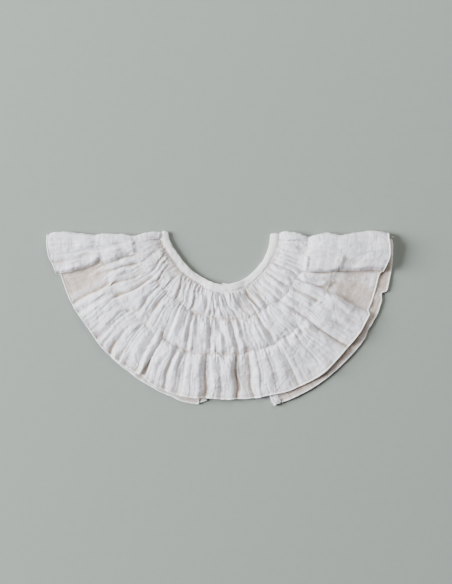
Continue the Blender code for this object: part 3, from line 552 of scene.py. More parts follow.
def add_node(tree, kind, inputs=(), links=(), **settings):
    """Adds a node with its settings and input values, and links outputs into it."""
    node = tree.nodes.new("ShaderNode" + kind)
    for name, value in settings.items():
        setattr(node, name, value)
    for socket, value in dict(inputs).items():
        node.inputs[socket].default_value = value
    for socket, output in dict(links).items():
        tree.links.new(output, node.inputs[socket])
    return node


def new_material(name, **shader_values):
    """Material with values for its main shader, its node tree and that shader."""
    material = bpy.data.materials.new(name)
    material.use_nodes = True
    shader = material.node_tree.nodes["Principled BSDF"]
    for socket, value in shader_values.items():
        shader.inputs[socket.replace("_", " ")].default_value = value
    return material, material.node_tree, shader


def finish(tree, shader, base, tones, bumps):
    """Base colour with tones laid over it by their factors, and relief from the finest up, each
    given by its height, strength, depth in metres and whether it is pressed in."""
    colour, normal = {}, {}
    for factor, tone in tones:
        mixed = add_node(
            tree, "Mix", {"A": linear(base), "B": linear(tone)}, {"Factor": factor, **colour},
            data_type="RGBA")
        colour = {"A": mixed.outputs["Result"]}
    tree.links.new(colour["A"], shader.inputs["Base Color"])
    for height, strength, depth, pressed in bumps:
        bump = add_node(
            tree, "Bump", {"Strength": strength, "Distance": depth}, {"Height": height, **normal},
            invert=pressed)
        normal = {"Normal": bump.outputs[0]}
    if normal:
        tree.links.new(normal["Normal"], shader.inputs["Normal"])


def cloth_in_mm(tree, turned_deg=0):
    """The cloth's own map in millimetres, turned by an angle."""
    cloth = add_node(tree, "UVMap", uv_map="cloth")
    mapping = {"Scale": (1000, 1000, 1000), "Rotation": (0, 0, math.radians(turned_deg))}
    return add_node(tree, "Mapping", mapping, {"Vector": cloth.outputs["UV"]}).outputs[0]


def wave_scale(spacing_mm):
    """Scale of a wave texture on millimetres whose lines are this far apart."""
    return 2 * math.pi / 20 / spacing_mm


def crossed_lines(tree, mm, spacings, strays, detail):
    """Lines both ways, so many millimetres apart and straying a little; the higher one counts."""
    sets = []
    for way, spacing, stray in zip("XY", spacings, strays):
        values = {"Scale": wave_scale(spacing), "Distortion": stray, **detail}
        sets.append(add_node(tree, "TexWave", values, {"Vector": mm}, bands_direction=way).outputs["Fac"])
    return add_node(tree, "Math", links=dict(enumerate(sets)), operation="MAXIMUM").outputs[0]


def gauze_material():
    """Cotton double gauze: two open plain weaves caught together on a faint grid, washed and
    crinkled. Very matt, with slubs along both threads and painted warm shade in its hollows."""
    material, tree, shader = new_material(
        "washed cotton double gauze", Roughness=0.92, Sheen_Weight=0.25, Sheen_Roughness=0.5,
        Subsurface_Weight=0.12, Subsurface_Scale=0.002, Specular_IOR_Level=0.2)
    mm = cloth_in_mm(tree)
    # Threads of gauze stand 0.5 mm apart; they are drawn 1.3 mm apart so that they show.
    weave = crossed_lines(tree, mm, (1.3, 1.4), (1.6, 1.4), {"Detail": 2.0, "Detail Scale": 0.35})
    # The two layers are caught together along lines about 9 mm apart both ways.
    tack = crossed_lines(tree, mm, (9.0, 9.5), (0.5, 0.5), {"Detail": 1.0})
    tacked = add_node(tree, "MapRange", {"From Min": 0.955, "From Max": 1.0}, {"Value": tack})
    faint = add_node(tree, "Math", {1: 0.42}, {0: tacked.outputs[0]}, operation="MULTIPLY")
    # Thick places in single threads both ways, a few threads wide and some 10 to 25 mm long.
    slubs = []
    for scale in ((0.7, 0.11, 1.0), (0.1, 0.75, 1.0)):
        stretched = add_node(tree, "Mapping", {"Scale": scale}, {"Vector": mm})
        slub = add_node(
            tree, "TexNoise", {"Scale": 1.0, "Detail": 3.0, "Roughness": 0.6},
            {"Vector": stretched.outputs[0]})
        slubs.append(slub.outputs["Fac"])
    slubby = add_node(tree, "Math", {2: 0.0}, dict(enumerate(slubs)), operation="SMOOTH_MAX").outputs[0]
    crinkle = add_node(tree, "TexNoise", {"Scale": 0.33, "Detail": 4.0, "Roughness": 0.62}, {"Vector": mm})
    # Painted shade, warm beige, in the hollows; the threads shift it, so thick ones stay paler.
    painted_shade = add_node(tree, "Attribute", attribute_name="painted_shade")
    uneven = add_node(
        tree, "MapRange", {"From Min": 0.42, "From Max": 0.7, "To Min": 0.26, "To Max": -0.3},
        {"Value": slubby})
    painted_shade_and_slubs = add_node(
        tree, "Math", links={0: painted_shade.outputs["Fac"], 1: uneven.outputs[0]}, operation="ADD", use_clamp=True)
    # The beige tone laid over the base colour is painted shade; the grey one marks the tack lines.
    finish(
        tree, shader, "#E7E8F1", [(painted_shade_and_slubs.outputs[0], "#BFB2A6"), (faint.outputs[0], "#CFCBCB")],
        [(weave, 0.5, 0.00022, False), (slubby, 0.7, 0.0008, False),
         (crinkle.outputs["Fac"], 0.5, 0.0009, False), (tack, 0.35, 0.0006, True)])
    return material


def binding_material():
    """Cotton bias binding: a closer plain weave cut at 45 degrees, pressed flat and a little whiter."""
    material, tree, shader = new_material(
        "pressed cotton bias binding", Roughness=0.88, Sheen_Weight=0.2, Specular_IOR_Level=0.25)
    mm = cloth_in_mm(tree, 45)
    # Threads 0.35 mm apart, drawn 0.9 mm apart so that they show.
    weave = crossed_lines(tree, mm, (0.9, 0.9), (0.8, 0.8), {"Detail": 1.0})
    patches = add_node(tree, "TexNoise", {"Scale": 0.16, "Detail": 4.0}, {"Vector": mm}).outputs["Fac"]
    finish(
        tree, shader, "#F3F3F6", [(patches, "#E6E4E3")],
        [(weave, 0.4, 0.00015, False), (patches, 0.5, 0.0007, False)])
    return material


def thread_material():
    """Spun polyester sewing thread: bright white, faintly glossy, twisted in two plies."""
    material, tree, shader = new_material(
        "spun white sewing thread", Roughness=0.6, Sheen_Weight=0.3, Specular_IOR_Level=0.4)
    mm = cloth_in_mm(tree, 35)
    twist = add_node(
        tree, "TexWave", {"Scale": wave_scale(0.5)}, {"Vector": mm}, bands_direction="X").outputs["Fac"]
    finish(tree, shader, "#EDECEC", [(twist, "#FBFBFC")], [(twist, 0.5, 0.0001, False)])
    return material


def enamel_material():
    """Enamelled brass press stud: a thin white coat, smooth and glossy, a little worn at its rim."""
    material, tree, shader = new_material("enamelled brass", Roughness=0.32, IOR=1.5)
    where = add_node(tree, "TexCoord").outputs["Object"]
    wear = add_node(tree, "TexNoise", {"Scale": 900.0, "Detail": 3.0}, {"Vector": where}).outputs["Fac"]
    finish(tree, shader, "#EFEEEA", [(wear, "#D9D6CE")], [(wear, 0.2, 0.00005, False)])
    return material


def floor_material():
    """Matt grey studio card with a faint fibre."""
    material, tree, shader = new_material("matt studio card", Roughness=0.95, Specular_IOR_Level=0.1)
    where = add_node(tree, "TexCoord").outputs["Object"]
    fibre = add_node(tree, "TexNoise", {"Scale": 160.0, "Detail": 4.0}, {"Vector": where}).outputs["Fac"]
    finish(tree, shader, "#8E9691", [(fibre, "#89918C")], [])
    return material


GAUZE = gauze_material()
BINDING_CLOTH = binding_material()
THREAD = thread_material()
ENAMEL = enamel_material()
CARD = floor_material()


# ---- the front half ------------------------------------------------------------------------
def tier_radius(tier, deg, share):
    """Radius at an angle and at a share of the way from the tier's inner edge to its outer one."""
    return mix(read(tier.inner, deg), read(tier.outer, deg), share)


def rest_height(tier, deg, radius, share):
    """Height of the front's valleys: level over the back half, down to the surface where it is open."""
    height = 2.0 * FOLD_RADIUS
    if tier is TIER_1:
        seam = read(FRONT_LAYER, deg) + BINDING_THICKNESS / 2 + SEAM_GAP
        seam = seam + GAUZE_THICKNESS * np.clip(read(OVERLAP, deg) / 1.5, 0.0, 1.0)
        return mix(seam, height, ease(share / SEAM_RISE))
    if tier is TIER_2:
        return height
    height = height - HEM_DROP * ease(share)
    inside = np.minimum(deg - opening_angle(radius, -1), opening_angle(radius, 1) - deg)
    sink = ease(np.radians(inside) * radius / OPENING_RAMP) * ease((share - 0.2) / 0.8)
    return height - (OPENING_DROP - HEM_DROP) * sink


def hold(deg, row):
    """How firmly row 1 or 2 holds the cloth down, from 0 to 1."""
    firm = np.clip(read(SHOWS, deg, row + 1) / 0.5, 0.2, 1.0)
    return firm * read(ROW_2_HOLD, deg) if row == 2 else firm


def swell(tier, share, deg):
    """Share of a ridge's height at a place between the tier's two edges."""
    uneven = 1.0 + START_VARIES * noise(deg / 2.6, 0.0, 91)
    if tier is TIER_3:
        start = np.sin(math.pi / 2 * np.clip(share / HEM_SWELL, 0.0, 1.0)) ** (HEM_START * uneven)
        rise = start * (1.0 - read(HEM_SETTLE, deg) * ease((share - HEM_SWELL) / (1.0 - HEM_SWELL)))
        held = hold(deg, 2)
    else:
        starts = (tier is TIER_2) & (share < 0.5)
        rise = (4.0 * share * (1.0 - share)) ** np.where(starts, PUFF_START * uneven, PUFF_SHAPE)
        first_half, second_half = (1.0, hold(deg, 1)) if tier is TIER_1 else (hold(deg, 1), hold(deg, 2))
        held = np.where(share < 0.5, first_half, second_half)
    return mix(1.0, ROW_RELIEF + (1.0 - ROW_RELIEF) * rise, held)


def valley_angles(tier, share, seed):
    """Angle of each valley at each share, and of the two lines where the top meets the rolls."""
    def roll_angle(deg):
        return np.degrees(np.arcsin((FOLD_DROP + FOLD_RADIUS) / tier_radius(tier, deg, share)))

    bent = mix(share, ease(share), tier.s_bend)
    bow = 4.0 * share * (1.0 - share)
    angles = [LEFT_FOLD + roll_angle(TOP_START)]
    for number, fold in enumerate(tier.folds):
        wander = noise(5.3 * number, share * 3.2, seed) * WANDER_MM
        angle = mix(fold.inner_deg, fold.outer_deg, bent) + fold.bow_deg * bow
        angles.append(angle + np.degrees(wander / tier_radius(tier, angle, share)))
    angles.append(RIGHT_FOLD - roll_angle(TOP_END))
    gap = 0.5 * np.arange(len(angles))[:, None]
    return np.maximum.accumulate(np.minimum(np.stack(angles), angles[-1] + gap - gap[-1]) - gap, axis=0) + gap


def grid_columns(tier, angles):
    """Ridge and part of the way across it for each column, closer together beside the valleys."""
    middle = tier.rows // 2
    radius = tier_radius(tier, CENTRE_FRONT, 0.5)
    ridges, parts = [], []
    for ridge in range(len(tier.folds) + 1):
        width = math.radians(angles[ridge + 1, middle] - angles[ridge, middle]) * radius
        cells = max(4, 2 * round(width / tier.cell / 2))
        steps = np.arange(cells) / cells
        ridges += [ridge] * cells
        parts += (steps - 0.35 * np.sin(2 * math.pi * steps) / (2 * math.pi)).tolist()
    return np.array(ridges + [len(tier.folds)]), np.array(parts + [1.0])[None, :]


def add_lesser_creases(tier, rise, width, ridge, part, share, draw):
    """Creases down the wider ridges, each from one edge and dying out on the way."""
    last = len(tier.folds)
    for index in range(last + 1):
        here = ridge == index
        on_wing = tier is not TIER_1 and index in (0, 1, last - 1, last)
        for _ in range(int(width[tier.rows // 2, here].mean() / CREASE_SPACING)):
            centre, drift = draw.uniform(0.12, 0.88), draw.uniform(-0.2, 0.2)
            depth, half_mm = draw.uniform(0.1, 0.75), draw.uniform(0.6, 1.8)
            reach, from_outside = draw.uniform(0.35, 1.2), draw.random() < 0.45
            run = 1.0 - share if from_outside else share
            across = (part[:, here] - centre - drift * share) * width[:, here]
            depth = depth * (0.35 if on_wing else 1.0) * ease((reach - run) / 0.35)
            rise[:, here] -= depth * fade(across, half_mm)


def front_surface(tier, seed):
    """Outer face of a front tier as a grid that follows its folds."""
    draw = np.random.default_rng(seed)
    share = np.linspace(0.0, 1.0, tier.rows + 1)
    angles = valley_angles(tier, share, seed + 2)
    ridge, part = grid_columns(tier, angles)
    share = share[:, None]
    start, end = angles[ridge].T, angles[ridge + 1].T
    deg = mix(start, end, part)
    radius = tier_radius(tier, deg, share)
    width = np.radians(end - start) * radius

    # Heights of the ridges' crests and of the valleys between them.
    crests = np.array([tier.left_mm] + [fold.crest_mm for fold in tier.folds]) * CREST_GAIN
    leans = [draw.uniform(-LEAN_MM, LEAN_MM)]
    leans += [fold.lean_mm or draw.uniform(-LEAN_MM, LEAN_MM) for fold in tier.folds]
    peaks = draw.uniform(*PEAKS, len(crests))[ridge][None, :]
    vary = 1.0 + CREST_VARIES * noise(ridge[None, :] * 7.3, share * 3.4, seed + 1)
    crest = crests[ridge][None, :] * swell(tier, share, deg) * vary
    at_roll = [0.0 * share[:, 0]]
    depths = np.stack(
        at_roll + [mix(fold.inner_mm, fold.outer_mm, share[:, 0]) for fold in tier.folds] + at_roll)
    depths = FOLD_GAIN * depths * (depths / MAIN_DEPTH) ** 0.8
    lower = np.minimum(np.append(crests, tier.right_mm), np.insert(crests, 0, tier.left_mm))
    valleys = np.maximum(0.0, lower[:, None] - depths) * swell(tier, share[:, 0], angles)
    left, right = valleys[ridge].T, valleys[ridge + 1].T
    height = np.maximum(np.maximum(left, right), crest * np.minimum(1.0, width / NARROW_RIDGE) ** 0.5)

    # Each ridge climbs from the valleys at both its sides, steeply from a deep one.
    on_left = part < peaks
    valley = np.where(on_left, left, right)
    depth = np.where(on_left, depths[ridge].T, depths[ridge + 1].T)
    half = np.where(on_left, peaks, 1.0 - peaks) * width
    away = np.where(on_left, part, 1.0 - part) * width
    gentleness = np.interp(depth, *GENTLENESS)
    climb = np.sin(math.pi / 2 * np.clip(away / np.minimum(half, FLANK), 0.0, 1.0)) ** gentleness
    rise = mix(valley, height, climb)
    deg = deg + np.degrees(np.array(leans)[ridge][None, :] * climb * swell(tier, share, deg) / radius)
    add_lesser_creases(tier, rise, width, ridge, part, share, draw)
    if tier is TIER_1:
        on_left_side = 1.0 - past(deg, NECK_LIFTS)
        ramp = np.clip((radius - read(tier.inner, deg)) / NECK_RAMP, 0.0, 1.0)
        rise = rise * mix(1.0, mix(NECK_RISE, 1.0, ramp), on_left_side)
    return Surface(deg, radius, rest_height(tier, deg, radius, share) + rise, rise)


def meet_at_row(inner, outer, row):
    """Brings two tiers to nearly one line of heights along the row between them."""
    edges = ((inner, -1), (outer, 0))
    lines = [(np.maximum.accumulate(surface.deg[edge]), surface.height[edge]) for surface, edge in edges]
    for surface, edge in edges:
        shared = sum(np.interp(surface.deg[edge], *line) for line in lines) / 2
        away = np.abs(surface.radius - read(row, surface.deg))
        surface.height[:] += (shared - surface.height[edge]) * (1.0 - ease(away / ROW_REACH))


def shoulder_roll(side, radius, top, lifts):
    """Cloth as it rolls round a shoulder fold, from below to above, as rows of points."""
    swelling = read(SHOULDERS, radius, 1 if side < 0 else 2)[:, None]
    centre_y = NECK_CENTRE[1] - FOLD_DROP - FOLD_RADIUS
    sine, cosine = np.sin(np.radians(lifts))[None, :], np.cos(np.radians(lifts))[None, :]
    rise = np.where(sine < 0, swelling, mix(swelling, top[:, None] - 2 * FOLD_RADIUS, sine ** 2))
    y = centre_y + (FOLD_RADIUS + rise) * cosine
    z = FOLD_RADIUS + (FOLD_RADIUS + np.where(sine > 0, rise, 0.0)) * sine
    x = NECK_CENTRE[0] + side * np.sqrt(radius[:, None] ** 2 - (y - NECK_CENTRE[1]) ** 2)
    return np.stack([x, y, z], axis=-1)


def strayed(deg, radius):
    """Points of the surface level with every line of it strayed a little, except at the edges."""
    x, y = place(deg, radius, 0.0)[..., :2].transpose(2, 0, 1)
    inside = ease((radius - read(GATHER_EDGE, deg)) / 9.0) * ease((read(FRONT_HEM, deg) - radius) / 9.0)
    inside = inside * ease((deg - TOP_START) / 5.0) * ease((TOP_END - deg) / 5.0)
    sideways = layered(x, y, SIDEWAYS)
    outwards = layered(x, y, OUTWARDS) * (1.0 + 0.9 * before(deg, STRAYING_ENDS))
    at_row = 1.0 - ease(np.abs(past_row(deg, radius)) / SCALLOP_REACH)
    outwards = outwards + layered(x, y, SCALLOPS) * at_row
    return place(deg + np.degrees(sideways * inside / radius), radius + outwards * inside, 0.0)


def away_from(spot, deg, radius):
    """How far places are from a spot's middle, across and along the folds, in its half sizes."""
    across = np.radians(deg - spot.deg) * radius / spot.across_mm
    return across, (radius - spot.radius) / spot.along_mm


def dents(deg, radius):
    """Depth of the given pits, less than nothing on the lumps, and their painted shade."""
    depth, tone = 0.0, 0.0
    for dent in DENTS:
        across, along = away_from(dent, deg, radius)
        pit = dent.depth_mm * np.exp(-(across ** 2 + along ** 2) ** (2 if dent.across_mm > BROAD_MM else 1))
        depth, tone = depth + pit, tone + dent.tone * np.maximum(pit, 0.0)
    return depth, tone


def calm(deg, radius):
    """1 in the smooth places of the wings and 0 elsewhere."""
    share = 0.0
    for spot in CALMS:
        across, along = away_from(spot, deg, radius)
        share = np.maximum(share, ease(1.6 - 1.3 * (across ** 4 + along ** 4) ** 0.25))
    return share


def finer_relief(points, round_mm, radius, deg):
    """Fans of gathers at the rows, and crinkles, as heights above the folds."""
    x, y = points[..., 0], points[..., 1]
    smooth = calm(deg, radius)
    lively = 1.0 - 0.8 * smooth
    patches = np.clip(0.35 + noise(x / 19.0, y / 19.0, 7), 0.0, 1.0)
    long_lines = layered(round_mm, radius, LONG_SWELLS) + layered(round_mm, radius, LONG_CREASES, creases)
    relief = layered(x, y, SWELLS) * (1.0 - 0.55 * smooth) + smooth * long_lines
    relief = relief + layered(round_mm, radius, PATCHY_GATHERS, gathers) * patches * lively
    relief = relief + layered(x, y, CRUMPLE) + layered(x, y, CREASES, creases) * lively
    for number, row in enumerate((GATHER_EDGE, ROW_1, ROW_2)):
        firm = read(ROW_2_HOLD, deg) if number == 2 else 1.0
        shown = read(SHOWS, deg, number + 1)
        out = radius - read(row, deg)
        away = np.abs(out)
        # Gathers fan out from the row, are pressed flat under its stitches and crumple beside it.
        reach = np.where(out > 0.0, GATHER_REACH[1], GATHER_REACH[0])
        reach = reach + REACH_VARIES * noise(round_mm / 5.0, np.sign(out) * 3.0 + 5.0, 24 + number)
        pressed = (PRESSED if number else 0.0) * fade(away, 1.2)
        fan = np.exp(-((away / reach) ** 1.3)) * firm * (1.0 - pressed) * np.maximum(shown, 0.4) ** 0.7
        folds = gathers(round_mm / GATHER_PITCH[number], out / 16.0, 14 + number)
        crumple = noise(x / 1.5, y / 1.5, 21 + number) * 0.5 * np.exp(-away / 2.4)
        relief = relief + folds * GATHER_DEPTH * fan + crumple * firm * np.maximum(shown, 0.5)
        if number:
            uneven = np.clip(0.6 + 0.8 * noise(round_mm / 3.4, 0.0, 18 + number), 0.0, 1.5)
            patchy = np.clip(0.8 + 0.9 * noise(round_mm / 6.0, 0.0, 28 + number), 0.0, 1.6)
            dip = ROW_DIP * uneven * fade(away, 1.3) + ROW_HOLLOW * patchy * fade(away, 2.4)
            relief = relief - dip * firm * shown
    return np.where(relief < 0.0, RELIEF_DEPTH * np.tanh(relief / RELIEF_DEPTH), relief)


def painted_shade_of_hollows(tier, z, rise, deg, radius, pit_painted_shade):
    """Painted warm shade in the hollows: low ground, pits, the inner side of each row and the hem's groove.
    """
    level = spread(z, 1)
    low = [np.clip((spread(level, painted_shade.reach) - level) / painted_shade.depth_mm, 0.0, 1.0) for painted_shade in HOLLOWS]
    valley_floor = np.clip(1.0 - spread(rise, 3) / 2.6, 0.0, 1.0)
    # The painted shade is stronger on the left side.
    painted_shade_strength = 0.85 + 0.8 * before(deg, PAINTED_SHADE_WEAKENS)
    tone = painted_shade_strength * (HOLLOW_PAINTED_SHADE * sum(low) + (0.25 if tier is TIER_1 else 0.38) * valley_floor)
    # Painted shade along the inner side of each row and in the groove inside the hem.
    from_row = past_row(deg, radius)
    shown = np.where(radius < BETWEEN_ROWS, read(SHOWS, deg, 2), read(SHOWS, deg, 3))
    at_row = fade(from_row, np.where(from_row < 0.0, 3.0, 1.0))
    at_hem = fade(read(FRONT_HEM, deg) - radius - 2.2, 1.6) * past(deg, HEM_SHADE_STARTS)
    return tone + pit_painted_shade + ROW_PAINTED_SHADE * shown * at_row + HEM_PAINTED_SHADE * at_hem


def with_seam_allowance(tier, points, painted_shade, radius, deg):
    """Two more rows at the tier's inner edge, which run in under the piece before it."""
    inwards = (np.array([*NECK_CENTRE, 0.0]) - points[0]) * (1, 1, 0) / radius[0][:, None]
    shown = read(SHOWS, deg[0], 1 + TIERS.index(tier))
    step_down = SEAM_STEP * np.clip(shown, 0.15, 0.8)[:, None] * np.array([0.0, 0.0, 1.0])
    for share_in, share_down in ((0.05, 0.8), (0.95, 0.2)):
        step = inwards * SEAM_ALLOWANCE * share_in - step_down * share_down
        points = np.concatenate([points[:1] + step, points])
        painted_shade, radius = (np.concatenate([grid[:1], grid]) for grid in (painted_shade, radius))
        radius[0] -= SEAM_ALLOWANCE * share_in
    return points, painted_shade, radius


def distance_round(points, deg, radius):
    """Distance round the neck of each point, measured on along the cloth at both rolls."""
    round_mm = np.radians(deg - LEFT_FOLD) * ROUND_RADIUS
    girth = np.linalg.norm(np.diff(points, axis=1), axis=2) * ROUND_RADIUS / radius.mean()
    before = round_mm[:, :1] - np.cumsum(girth[:, :ROLL_COLUMNS][:, ::-1], axis=1)[:, ::-1]
    after = round_mm[:, -1:] + np.cumsum(girth[:, -ROLL_COLUMNS:], axis=1)
    return np.concatenate([before, round_mm, after], axis=1)


def with_relief(tier, points, round_mm, radius, deg):
    """Points with the finer relief and the dents, clear of the back half, and the dents' painted shade.
    The relief stands straight up at the rows and square to the cloth elsewhere."""
    pits, pit_painted_shade = dents(deg, radius)
    relief = finer_relief(points, round_mm, radius, deg) - pits
    normals = grid_normals(soften(points, 2))
    from_row = np.abs(past_row(deg, radius))[..., None]
    lift = mix(np.array([0.0, 0.0, 1.0]), normals, ease(from_row / 3.0))
    at_roll = np.zeros(points.shape[1], dtype=bool)
    at_roll[:ROLL_COLUMNS - 1] = at_roll[1 - ROLL_COLUMNS:] = True
    lift[:, at_roll] = normals[:, at_roll]
    points = points + lift * relief[..., None]
    closed = np.maximum(opening_angle(radius, -1) - deg, deg - opening_angle(radius, 1)) > 1.0
    over_back = (tier is not TIER_1) & closed & ~at_roll[None, :]
    lowest = np.where(over_back, back_height(deg, radius) + GAUZE_THICKNESS + BACK_GAP, -np.inf)
    points[..., 2] = np.maximum(points[..., 2], lowest)
    return points, pit_painted_shade


def front_tier(tier, surface):
    """One tier's front half, with the rolls at both shoulders, as a thin closed cloth."""
    deg, radius, height, rise = surface
    top = strayed(deg, radius)
    top[..., 2] = height
    lifts = np.linspace(-90, 84, ROLL_COLUMNS)
    left = shoulder_roll(-1, radius[:, 0], height[:, 0], lifts)
    right = shoulder_roll(1, radius[:, -1], height[:, -1], lifts)[:, ::-1]
    points = np.concatenate([left, top, right], axis=1)
    round_mm = distance_round(points, deg, radius)
    radius, deg, rise = (
        np.pad(grid, ((0, 0), (ROLL_COLUMNS, ROLL_COLUMNS)), mode="edge") for grid in (radius, deg, rise))
    if points.shape[1] % 2 == 0:        # the inner grid takes every second column
        points, round_mm, radius, deg, rise = (
            np.delete(grid, 1, axis=1) for grid in (points, round_mm, radius, deg, rise))
    points, pit_painted_shade = with_relief(tier, points, round_mm, radius, deg)
    painted_shade = painted_shade_of_hollows(tier, points[..., 2], rise, deg, radius, pit_painted_shade)
    points, painted_shade, radius = with_seam_allowance(tier, points, painted_shade, radius, deg)
    points[..., 2] = np.maximum(points[..., 2], 0.0)
    inner = soften(points, 3) - grid_normals(soften(points, 4)) * GAUZE_THICKNESS
    inner[..., 2] = np.maximum(inner[..., 2], 0.02)
    across = lengths_along(points[tier.rows // 2])[None, :]
    uv = np.stack(np.broadcast_arrays(across, radius), axis=-1)
    cloth = cloth_shell(tier.name, points, inner[::2, ::2], GAUZE, uv, np.clip(painted_shade, 0.0, 1.0))
    return cloth, points


# ---- the back half -------------------------------------------------------------------------
def back_height(deg, radius):
    """Top of the hidden layers: rounded between the rows, thin where the hem shows."""
    seam = read(BINDING_SEAM, deg)
    edges = (seam, read(ROW_1, deg), read(ROW_2, deg))
    height = mix(BACK_SEAM_THICKNESS, BACK_THICKNESS, ease((radius - seam) / BACK_STEP))
    for inner, outer in zip(edges, edges[1:]):
        share = np.clip((radius - inner) / (outer - inner), 0.0, 1.0)
        height = height + BACK_BULGE * 4.0 * share * (1.0 - share)
    thin = ease((radius - read(FRONT_HEM, deg) + HEM_OVERLAP) / BACK_STEP)
    return mix(height, BACK_HEM_THICKNESS, thin)


def back_grid(part, angle_at, shorter=0.0):
    """Angles and radii of a grid from the neck seam to the back hem. angle_at(radius) gives the
    angle of each column at its radius."""
    share = np.linspace(0.0, 1.0, BACK_ROWS + 1)[:, None]
    radius = mix(read(BINDING_SEAM, CENTRE_FRONT), read(BACK_HEM, CENTRE_FRONT), share)
    for _ in range(4):      # each time nearer, because the angle and the radius need each other
        deg = angle_at(radius)
        radius = mix(read(BINDING_SEAM, deg) + SEAM_GAP / 2, read(BACK_HEM, deg) - shorter, share)
    return deg, radius


def pressed_gathers(across, radius, seed, pitch):
    """Uneven gathers pressed flat: 0 on their broad ridges and 1 down their narrow valleys."""
    drift = noise(across / 30.0, radius / 25.0, seed) * 2.0
    wave = noise((across + drift) / pitch, radius / 60.0, seed + 1)
    return np.clip(1.0 - np.abs(wave) * 4.5, 0.0, 1.0) ** 1.5


def back_half(name, side, seed):
    """Hidden layers of a back half: flat where they rest, gathered below and waved along the hem."""
    part = np.linspace(0.0, 1.0, BACK_COLUMNS + 1)[None, :]

    def angle_at(radius):
        roll = np.degrees(np.arcsin((FOLD_DROP + FOLD_RADIUS + SEAM_GAP) / radius))
        edge = opening_angle(radius, side) + side * np.degrees((OPENING_HEM_WIDTH + SEAM_GAP) / radius)
        return mix(LEFT_FOLD + roll, edge, part) if side < 0 else mix(edge, RIGHT_FOLD - roll, part)

    deg, radius = back_grid(part, angle_at)
    across = np.radians(deg - LEFT_FOLD) * 120.0
    from_row = np.abs(past_row(deg, radius))
    past_front = radius - read(FRONT_HEM, deg)
    near_hem, in_sight = ease((past_front + 10.0) / 8.0), ease((past_front + 1.0) / 2.0)
    wave = layered(across, radius, BACK_WAVES, seed=seed) * (0.15 + 0.85 * in_sight)
    height = back_height(deg, radius) + wave + BACK_LIFT * in_sight
    pitch = np.where(radius < read(ROW_2, deg), BACK_PITCH[1], BACK_PITCH[2])
    pitch = np.where(radius < read(ROW_1, deg), BACK_PITCH[0], pitch)
    valley = BACK_VALLEY * pressed_gathers(across, radius, seed, pitch) * ease(from_row / 5.0 + 0.25)
    floor = np.maximum(valley, BACK_ROW_DIP * fade(from_row, 1.0)) * (1.0 - 0.6 * near_hem)
    floor = np.minimum(floor, height - BACK_LEAST)
    top, bottom = place(deg, radius, height), place(deg, radius, floor)
    uv = np.stack([across, radius], axis=-1)
    to_edge = read(BACK_HEM, deg) - radius
    # Painted shade in its low places, and a painted shadow of the front hem over the strip that shows beyond
    # it.
    painted_shade = np.clip((soften(height, 12) - height) / 0.7 + near_hem * ease(to_edge / 1.6), 0.0, 1.0)
    cloth = cloth_shell(name, top, bottom[::2, ::2], GAUZE, uv, painted_shade)
    edge_line = top[-1] + unit(top[-1] - top[-2]) * (0.3, 0.3, 0.0) - (0.0, 0.0, 0.5)
    return cloth, edge_line


def opening_hem(name, side):
    """Turned hem down one edge of the centre-back opening, three layers thick and rounded."""
    part = np.linspace(0.0, 1.0, OPENING_HEM_COLUMNS + 1)[None, :]
    lobes = CORNER_LOBES * (1.0 - np.abs(np.sin(2.0 * math.pi * part)) ** 0.5) if side > 0 else 0.0
    inset = OPENING_HEM_WIDTH * (1.0 - part)
    deg, radius = back_grid(
        part, lambda radius: opening_angle(radius, side) + side * np.degrees(inset / radius), lobes)
    across = OPENING_HEM_WIDTH * part + 0.0 * radius
    rounded = np.sqrt(np.clip(1.0 - np.clip((part - 0.82) / 0.18, 0.0, 1.0) ** 2, 0.0, 1.0))
    stitched = HEM_STITCHED * fade(across - 1.6, 0.5)
    bulk = (LEFT_BULK if side < 0 else RIGHT_BULK) * ease((radius - CORNER_RADIUS) / 8.0)
    bulk = bulk * (1.0 + 0.7 * noise(across / 1.3, radius / 1.5, 70 + side))
    height = (OPENING_HEM_THICKNESS + bulk) * mix(0.35, 1.0, rounded) - stitched
    height = height + layered(across, radius, HEM_BUMPS, seed=side)
    top, bottom = place(deg, radius, height), place(deg, radius, 0.0)
    uv = np.stack([across, radius], axis=-1)
    in_sight = ease((radius - read(FRONT_HEM, deg) + 2.0) / 3.0) * ease((read(BACK_HEM, deg) - radius) / 1.6)
    # Painted shade along the stitch line, and on the left hem a painted shadow of the front hem where it
    # shows.
    painted_shade = np.clip(stitched + (0.8 if side < 0 else 0.0) * in_sight, 0.0, 1.0)
    if side > 0:
        top, bottom, uv, painted_shade = top[:, ::-1], bottom[:, ::-1], uv[:, ::-1], painted_shade[:, ::-1]
    return cloth_shell(name, top, bottom[::2, ::2], GAUZE, uv, painted_shade)


# ---- hems and sewing -----------------------------------------------------------------------
def upright(count):
    """Directions straight up for so many points."""
    return np.tile((0.0, 0.0, 1.0), (count, 1))


def even_path(points, step):
    """The path's points again, a step apart along it, with the distance at each."""
    along = lengths_along(points)
    stations = np.linspace(0.0, along[-1], max(2, int(along[-1] / step)))
    return between(stations, along, points), stations


def slim(path):
    """Share of its full size that the rolled hem has at each point: less round the left wing."""
    turn = np.degrees(np.arctan2(path[:, 1] - NECK_CENTRE[1], path[:, 0] - NECK_CENTRE[0])) % 360.0
    return mix(0.62, 0.85, past(turn, HEM_FILLS))


def rolled_hem(name, edge, ups, seed, sunk=0.1):
    """Edge rolled to a cord and wrapped in overlock thread, so that it is finely ribbed."""
    path, along = even_path(soften(edge[None], 2)[0], OVERLOCK_PITCH / 3)
    up = unit(between(np.linspace(0, 1, len(path)), np.linspace(0, 1, len(ups)), ups))
    rib = 1.0 + WRAP_RELIEF * np.cos(2 * math.pi * along / OVERLOCK_PITCH)
    rib = (rib + ROLL_VARIES * noise(along / 2.3, 0.0, seed)) * slim(path)
    turns = np.radians(np.arange(0, 360, 36))
    ring = np.stack([ROLLED_WIDTH / 2 * np.cos(turns), ROLLED_HEIGHT / 2 * np.sin(turns)], axis=-1)
    path = path - up * sunk
    path[:, 2] = np.maximum(path[:, 2], ROLLED_HEIGHT / 2 * 1.15)
    return swept(name, path, lambda i: rib[i] * ring, up, THREAD)


